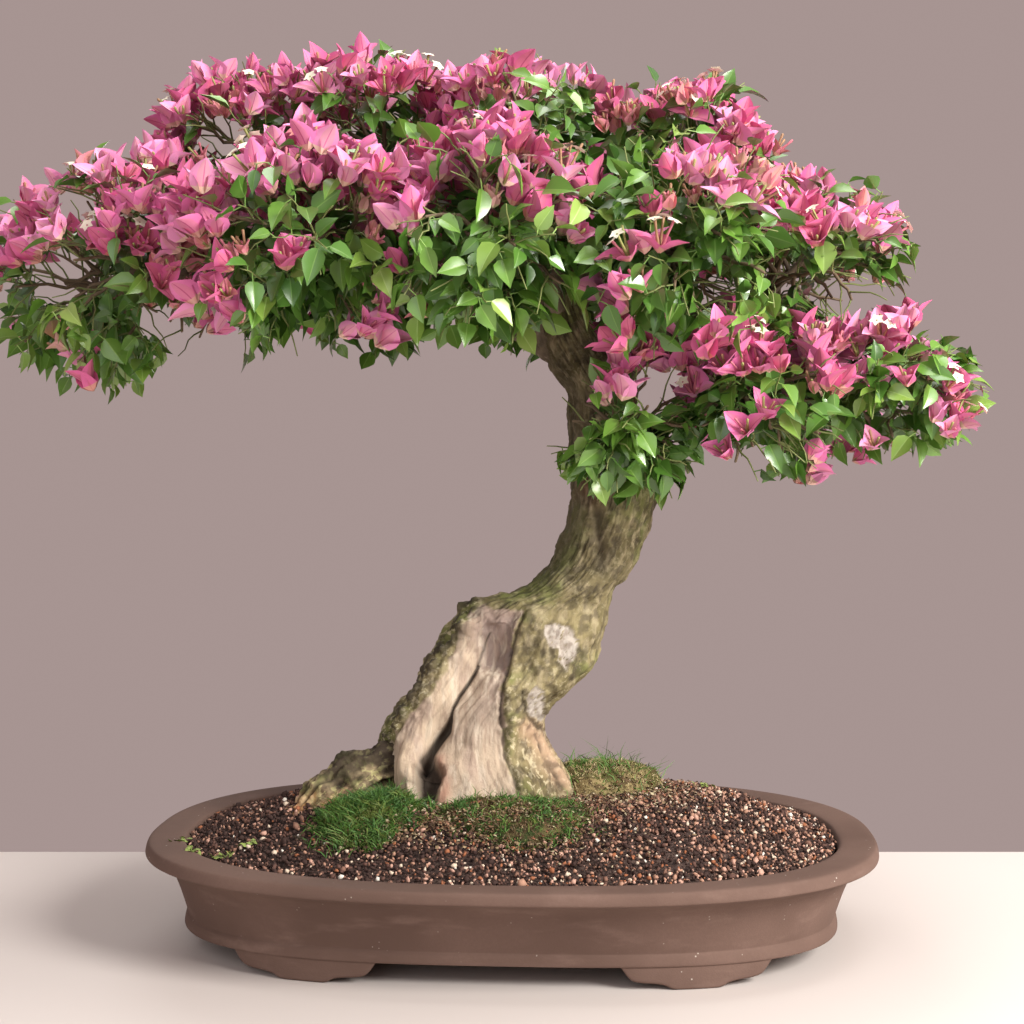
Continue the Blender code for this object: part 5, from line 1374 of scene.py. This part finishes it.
# Everything that grows in one mass, as lists: stems, twigs, shoots, leaves and blooms
def growMass(name, grown):
    middle, reach, _, _, _, share = masses[name]
    middle = Vector(middle)
    space = (middle, reach, planesOf(name))
    dice = random.Random("growth " + name)
    turn = dice.uniform(0, math.tau)
    (before, _), (tip, tipRadius) = lines[name][-2], lines[name][-1]
    out = (tip - before).normalized()
    end = middle + (middle - tip) * growth["stemPast"]
    bend = tip + out * (growth["stemStraight"] * (end - tip).length)
    stem = bendLine(tip - out * growth["rooted"], bend, end, growth["stemPoints"], dice, growth["stemWaver"])
    stemRadii = np.linspace(tipRadius * 0.98, growth["twigRadius"], growth["stemPoints"])
    grown["stems"].append((stem, stemRadii))
    stemLine = list(zip(stem, stemRadii))
    for index in range(growth["twigs"]):
        toward = evenDirection(index, growth["twigs"], turn)
        target = middle + Vector([toward[axis] * reach[axis] * growth["twigReach"] for axis in range(3)])
        place = growth["firstTwig"] + (1 - growth["firstTwig"]) * (index * 0.618 % 1)
        start, startRadius, _ = lineAt(stemLine, place)
        while target is not None:
            bend = (start + target) / 2 + Vector((0, 0, growth["twigBow"] * (target - start).length))
            if inSpace(target, *space) and inSpace(bend, *space):
                break
            target = start.lerp(target, growth["drawBack"])
            if (target - start).length < growth["shortest"]:
                target = None
        if target is None:
            continue
        twig = bendLine(start, bend, target, growth["twigPoints"], dice, growth["twigWaver"])
        thick = min(growth["twigRadius"], startRadius * 0.9)
        twigRadii = np.linspace(thick, growth["twigTip"], growth["twigPoints"])
        grown["twigs"].append((twig, twigRadii))
        twigLine = list(zip(twig, twigRadii))
        for number in range(growth["shoots"]):
            along = between((growth["firstShoot"], 1), (number + dice.uniform(0.2, 0.8)) / growth["shoots"])
            growShoot(lineAt(twigLine, min(along, 0.995)), index * 3 + number, space, share, dice, grown)


# One shoot from a twig's point, radius and direction, with its leaves and perhaps a cluster at its end
def growShoot(root, number, space, share, dice, grown):
    start, radius, way = root
    outward = (start - space[0]).normalized()
    around = acrossWay(way, number * goldenAngle)
    onward, across, out, up = growth["shootHeading"]
    heading = (onward * way + across * around + out * outward + Vector((0, 0, up))).normalized()
    length = dice.uniform(*growth["shootLength"])
    target = start + heading * length
    while not inSpace(target, *space):
        length *= growth["shootShrink"]
        target = start + heading * length
        if length < growth["shortestShoot"]:
            return
    bend = (start + target) / 2 + Vector((0, 0, growth["shootBow"] * length))
    shoot = bendLine(start, bend, target, growth["shootPoints"], dice, growth["shootWaver"])
    sky = underSky(target)[0]
    bare = sky or noise.noise(target * growth["bareScale"]) < growth["bareBelow"]
    if not bare or dice.random() < growth["skyKept" if sky else "bareKept"]:
        thick = min(growth["shootRadius"], radius * 0.8)
        grown["shoots"].append((shoot, np.linspace(thick, growth["shootTip"], growth["shootPoints"])))
    if bare:
        return
    shootLine = [(point, 0.0) for point in shoot]
    mass = len(grown["stems"]) - 1
    tone = dice.random()
    count = max(2, round(length / growth["leafStep"]))
    onward, across, out = growth["leafHeading"]
    for step in range(count):
        point, _, way = lineAt(shootLine, (step + 0.9) / (count + 0.3))
        around = acrossWay(way, (step + number) * growth["leafTurn"] + dice.uniform(-0.4, 0.4))
        droop = scatter(dice, growth["leafStray"], growth["leafStray"]).to_3d()
        droop.z = -growth["hang"] * dice.uniform(*growth["hangSpread"])
        blade = (onward * way + across * around + out * outward + droop).normalized()
        face = outward * dice.uniform(*growth["faceOut"])
        lift = scatter(dice, growth["faceStray"], growth["faceStray"]).to_3d()
        lift.z = dice.uniform(*growth["faceUp"])
        face = (face + lift).normalized()
        size = dice.uniform(*growth["leafSize" if step < count - 1 else "endLeafSize"])
        grown["leaves"].append((point, around, blade, face, size, tone, dice.random(), mass))
    exposed = ease(-0.15, 0.50, outward.z)
    shaded, added = growth["bloomLight"]
    if dice.random() < bloomShare(target, share) * (shaded + added * exposed):
        onward, out, up = growth["bloomHeading"]
        heart = (onward * heading + out * outward + Vector((0, 0, up))).normalized()
        blooms = dice.randint(*growth["cluster"])
        grown["ends"].append((target, heart, dice.random(), blooms, mass))


grown = dict(stems=[], twigs=[], shoots=[], leaves=[], ends=[])
for massName in masses:
    growMass(massName, grown)
print("grown", {kind: len(made) for kind, made in grown.items()})


# The masses by side, so that each joined piece stays under the limit of faces
massNames = list(masses)
sideTitles, sideEdges = ("Left", "Middle", "Right"), (-0.12, 0.13)
sideOf = np.searchsorted(sideEdges, massMiddles[:, 0], side="right")


def foliageNodes(where=None):        # the framed masses on one side, or all of them
    return ["foliage_" + name for name, side in zip(massNames, sideOf) if where in (None, side)]


def makeTwigs():
    skins, groups = [], []
    first = 0
    for look, (kind, sides) in enumerate((("stems", 7), ("twigs", 5), ("shoots", 3))):
        centres = np.array([[tuple(point) for point in line] for line, _ in grown[kind]])
        skin = tubePoints(centres, np.array([radii for _, radii in grown[kind]]), sides)
        groups += [(faces + first, look) for faces in tubeFaces(len(centres), centres.shape[1], sides)]
        skins.append(skin.reshape(-1, 3))
        first += len(skins[-1])
    looks = [plainLook("stemBrown", (0.130, 0.095, 0.060), 0.8),
             plainLook("twigBrown", (0.150, 0.105, 0.060), 0.75),
             plainLook("shootGreen", (0.170, 0.200, 0.060), 0.6)]
    addPiece("twigs", np.vstack(skins), groups, looks, foliageNodes())


# Centres of bloom after bloom, kept apart by the smallest gap between two
def chooseBlooms():
    dice = random.Random("blooms")
    kept, centres = [], np.zeros((0, 3))
    gapAhead, deepAhead, skyAhead, reachAhead = growth["bloomAhead"]
    for point, heart, tone, count, mass in grown["ends"]:
        for number in range(count):
            spin = dice.uniform(0, math.tau)
            around = acrossWay(heart, spin)
            spread = 0 if number == 0 else growth["clusterSpread"] * dice.uniform(0.8, 1.3)
            base = point + around * spread - heart * (growth["clusterSink"] * spread)
            lean = around * (0.0 if number == 0 else growth["clusterLean"])
            stray = scatter(dice, growth["clusterStray"], growth["clusterStray"]).to_3d()
            way = (heart + lean + stray).normalized()
            centre = np.array(base + way * gapAhead)
            if len(centres) and np.linalg.norm(centres - centre, axis=1).min() < growth["bloomGap"]:
                continue
            if not growth["bloomDeep"] < depthInCrown([base + way * deepAhead])[0] < growth["bloomOut"]:
                continue
            if underSky(base + way * skyAhead)[0]:
                continue
            far = np.abs(np.array(base + way * reachAhead) + potPlace)[:2] + growth["bloomReach"]
            if (far > growth["crownReach"]).any():
                continue
            centres = np.vstack((centres, centre))
            kept.append((tuple(base), tuple(way), spin, tone, mass, dice.random()))
    return kept, centres


def limbSamples():                   # points along the limbs with their radii
    places, radii = [], []
    for line in lines.values():
        for point, radius in line[::2]:
            places.append(tuple(point))
            radii.append(radius)
    return np.array(places), np.array(radii)


def clearOf(spots, places, radii=0):     # how far spots are from the nearest of many places, some at a time
    gaps = []
    for start in range(0, len(spots), 2000):
        gap = np.linalg.norm(spots[start:start + 2000, None] - places, axis=-1) - radii
        gaps.append(gap.min(axis=1))
    return np.concatenate(gaps)


def mixedTone(spray, own):           # one number from the spray's and the leaf's or bloom's own
    return spray * growth["bySpray"] + own * (1 - growth["bySpray"])


def pickTone(numbers, tones):        # the tone that each random number from 0 to 1 falls on
    edges = np.cumsum([tone[0] for tone in tones])
    return np.minimum(np.searchsorted(edges / edges[-1], numbers), len(tones) - 1)


def makeLeaves(bloomCentres):
    dice = np.random.default_rng(7)
    columns = zip(*[[*map(tuple, leafRow[:4]), *leafRow[4:]] for leafRow in grown["leaves"]])
    point, around, way, face, size, tone, chance, mass = [np.array(column) for column in columns]
    petiole = dice.uniform(*leaf["petiole"], len(point))[:, None]
    base = point + unit(around * 0.8 + way * 0.3 + (0, 0, 0.3)) * petiole
    length = between(leaf["length"], chance) * (0.55 + 0.45 * size)
    width = length * dice.uniform(*leaf["widthShare"], len(point))
    middle, tip = base + way * (length * 0.5)[:, None], base + way * length[:, None]
    keep = (depthInCrown(tip) < leaf["tipOut"]) & (depthInCrown(middle) < leaf["middleOut"])
    keep &= (np.abs(tip + potPlace)[:, :2] < growth["crownReach"]).all(axis=1)
    limbs = limbSamples()
    for spots in (middle, tip):
        keep &= ~underSky(spots) & (clearOf(spots, *limbs) > growth["limbClear"])
        keep &= clearOf(spots, bloomCentres) > growth["bloomClear"]
    parts = [array[keep] for array in (point, base, way, face, length, width, tone, chance, mass)]
    point, base, way, face, length, width, tone, chance, mass = parts
    arch = between(leaf["arch"], dice.random(len(base)))
    blades = bladePoints(leaf, base, way, face, length, width, arch, dice.uniform(0, 6, len(base)))
    stalks = tubePoints(np.stack((point, base + way * (length * 0.02)[:, None]), axis=1),
                        np.full((len(base), 2), leaf["petioleRadius"]), 3)
    # Painted shade: leaves deep in the crown, and those between the top blooms, get darker tones
    depth = ease(0.35, 0.95, depthInCrown(point))
    depth = depth * (1 - leaf["topShade"] * ease(0.50, 0.58, point[:, 2]))   # darker between the top blooms
    toneNumber = pickTone(mixedTone(tone, chance) * between((leaf["deepShade"], 1), depth), leaf["tones"])
    looks = []
    for number, (_, blade, rib) in enumerate(leaf["tones"]):
        looks.append(plainLook("leafBlade%d" % number, blade, 0.36, Coat_Weight=0.48, Coat_Roughness=0.24))
        looks.append(plainLook("leafRib%d" % number, rib, 0.45))
    bladeSize, stalkSize = blades.shape[1], stalks.shape[1]
    for where, title in enumerate(sideTitles):
        mine = sideOf[mass.astype(int)] == where
        count = int(mine.sum())
        tones = toneNumber[mine][:, None] * 2
        groups = [(repeatFaces(faces, count, bladeSize), (tones + (kinds == 1)).ravel())
                  for faces, kinds in bladeFaces(leaf, 0)]
        stalkFaces = repeatFaces(gridFaces(2, 3), count, stalkSize) + count * bladeSize
        groups.append((stalkFaces, np.repeat(tones + 1, 3)))
        points = np.vstack((blades[mine].reshape(-1, 3), stalks[mine].reshape(-1, 3)))
        addPiece("leaves" + title, points, groups, looks, foliageNodes(where))
    print("leaves", len(base))


def makeBlooms(blooms):
    dice = np.random.default_rng(11)
    base, heart, spin, tone, mass, chance = [np.array(column) for column in zip(*blooms)]
    count = len(base)
    side, other = acrossOf(heart)
    toneNumber = pickTone(mixedTone(tone, chance) % 1, blossom["tones"])
    opening = between(blossom["tilt"], dice.random(count))
    size = between(blossom["length"], dice.random(count))
    size *= 1 - blossom["topSmaller"] * ease(0.52, 0.60, base[:, 2])
    old = toneNumber >= blossom["old"]
    size = np.where(old, size * blossom["oldSize"], size)
    opening = np.where(old, opening * blossom["oldOpening"], opening)
    starred = (dice.random(count) < blossom["starShare"]) & ~old
    opening = np.where(starred, opening + blossom["starOpening"], opening)
    tubeSteps, tubeRadii = np.array(blossom["tubeRows"]).T
    blades, tubes, stars = [], [], []
    for number in range(blossom["bracts"]):
        angle = spin + number * math.tau / blossom["bracts"] + dice.normal(0, 0.12, count)
        around = turned(side, other, angle)
        tilt = opening + dice.normal(0, 0.07, count)
        length = size * dice.uniform(0.92, 1.06, count)
        width = length * dice.uniform(*blossom["widthShare"], count)
        arch = between(blossom["arch"], dice.random(count))
        along, inward = turned(heart, around, tilt), turned(-around, heart, tilt)
        blades.append(bladePoints(blossom, base + around * 0.0008, along, inward, length, width, arch,
                                  dice.uniform(0, 6, count)))
        lean = unit(heart + around * blossom["tubeLean"])
        tubeLength = dice.uniform(*blossom["tubeLength"], count) * np.where(starred, blossom["starTube"], 1)
        centres = base[:, None] + lean[:, None] * (tubeLength[:, None] * tubeSteps)[:, :, None]
        radii = np.tile(blossom["tubeRadius"] * tubeRadii, (count, 1))
        tubes.append(tubePoints(centres, radii, 4))
        flowers = starred & (dice.random(count) < blossom["starOpen"])
        stars.append(starPoints(centres[flowers, -1], lean[flowers], dice))
    looks = []
    for number, (_, main, low, vein) in enumerate(blossom["tones"]):
        edge = tuple(channel * shift for channel, shift in zip(main, blossom["edgeShift"]))
        for part, colour in (("Base", low), ("Vein", vein), ("Main", main), ("Edge", edge)):
            looks.append(plainLook("bract%s%d" % (part, number), colour, 0.62, Sheen_Weight=0.10,
                                   Sheen_Roughness=0.5, Specular_IOR_Level=0.3))
    blades, tubes, stars = np.concatenate(blades), np.concatenate(tubes), np.concatenate(stars)
    tones = np.tile(toneNumber, blossom["bracts"])
    sides = np.tile(sideOf[mass.astype(int)], blossom["bracts"])
    for where, title in enumerate(sideTitles):
        mine = sides == where
        firstLooks = tones[mine][:, None] * 4
        groups = [(repeatFaces(faces, int(mine.sum()), blades.shape[1]), (firstLooks + kinds).ravel())
                  for faces, kinds in bladeFaces(blossom, 2)]
        addPiece("bracts" + title, blades[mine].reshape(-1, 3), groups, looks, foliageNodes(where))
    tubeTone = dice.integers(0, len(blossom["tubeTones"]), len(tubes))
    groups = [(faces, np.repeat(tubeTone, len(faces) // len(tubes))) for faces in tubeFaces(len(tubes), 4, 4)]
    looks = toneLooks("flowerTube", blossom["tubeTones"], 0.6)
    addPiece("flowerTubes", tubes.reshape(-1, 3), groups, looks, foliageNodes())
    rays = 2 * blossom["starPoints"]
    rayFaces = [(0, 1 + ray, 1 + (ray + 1) % rays) for ray in range(rays)]
    addPiece("starFlowers", stars.reshape(-1, 3), [(repeatFaces(rayFaces, len(stars), rays + 1), 0)],
             [plainLook("starCream", (0.86, 0.82, 0.66), 0.6)], foliageNodes())
    print("blooms", count, "stars", len(stars))


def starPoints(centre, heart, dice):     # flat stars with long and short rays in turn, each round its middle
    side, other = acrossOf(heart)
    made = [centre]
    turn = dice.uniform(0, math.tau, len(centre))
    rays = 2 * blossom["starPoints"]
    for ray in range(rays):
        reach, rise = (1, 0.0006) if ray % 2 == 0 else (0.62, 0.0012)
        around = turned(side, other, turn + ray * math.tau / rays)
        made.append(centre + around * (blossom["starSize"] * reach) + heart * rise)
    return np.stack(made, axis=1)


makeTwigs()
blooms, bloomCentres = chooseBlooms()
makeLeaves(bloomCentres)
makeBlooms(blooms)


# Camera, light and table on the studio's values

def aim(holder, place, ahead):       # sets a camera or lamp at a place from the pot, looking a way
    holder.location = Vector(potPlace) + place
    holder.rotation_mode = "QUATERNION"
    holder.rotation_quaternion = ahead.to_track_quat("-Z", "Y")
    bpy.context.scene.collection.objects.link(holder)


def makeStudio():
    scene = bpy.context.scene
    yaw, tilt, distance = studio["yaw"], studio["tilt"], studio["distance"]
    eye = bpy.data.cameras.new("portrait")
    eye.lens = studio["lens"]
    eye.sensor_width = studio["sensor"]
    scene.camera = bpy.data.objects.new("portrait", eye)
    aim(scene.camera, Vector((math.sin(yaw) * distance, -math.cos(yaw) * distance, studio["height"])),
        Vector((-math.sin(yaw) * math.cos(tilt), math.cos(yaw) * math.cos(tilt), -math.sin(tilt))))
    half, back, front = studio["tableHalf"], studio["tableBack"], studio["tableFront"]
    mesh = bpy.data.meshes.new("paleTable")
    corners = [(-half, -front, 0), (half, -front, 0), (half, back, 0), (-half, back, 0)]
    turn = Matrix.Rotation(yaw, 3, "Z")
    mesh.from_pydata([tuple(turn @ Vector(corner)) for corner in corners], [], [(0, 1, 2, 3)])
    mesh.materials.append(plainLook("paleTable", studio["tableColour"], 0.7))
    table = bpy.data.objects.new("paleTable", mesh)
    scene.collection.objects.link(table)
    world = bpy.data.worlds.new("studio")
    world.use_nodes = True
    background = world.node_tree.nodes["Background"]
    background.inputs["Color"].default_value = (*studio["backdrop"], 1)
    background.inputs["Strength"].default_value = studio["ambient"]
    scene.world = world
    for name, place, target, width, watts, colour in studio["lights"]:
        lamp = bpy.data.lights.new(name, "AREA")
        lamp.shape, lamp.size, lamp.energy, lamp.color = "DISK", width, watts, colour
        aim(bpy.data.objects.new(name, lamp), Vector(place), Vector(target) - Vector(place))
    scene.view_settings.view_transform = "Standard"
    scene.view_settings.look = "None"


makeStudio()
print("studio ready")
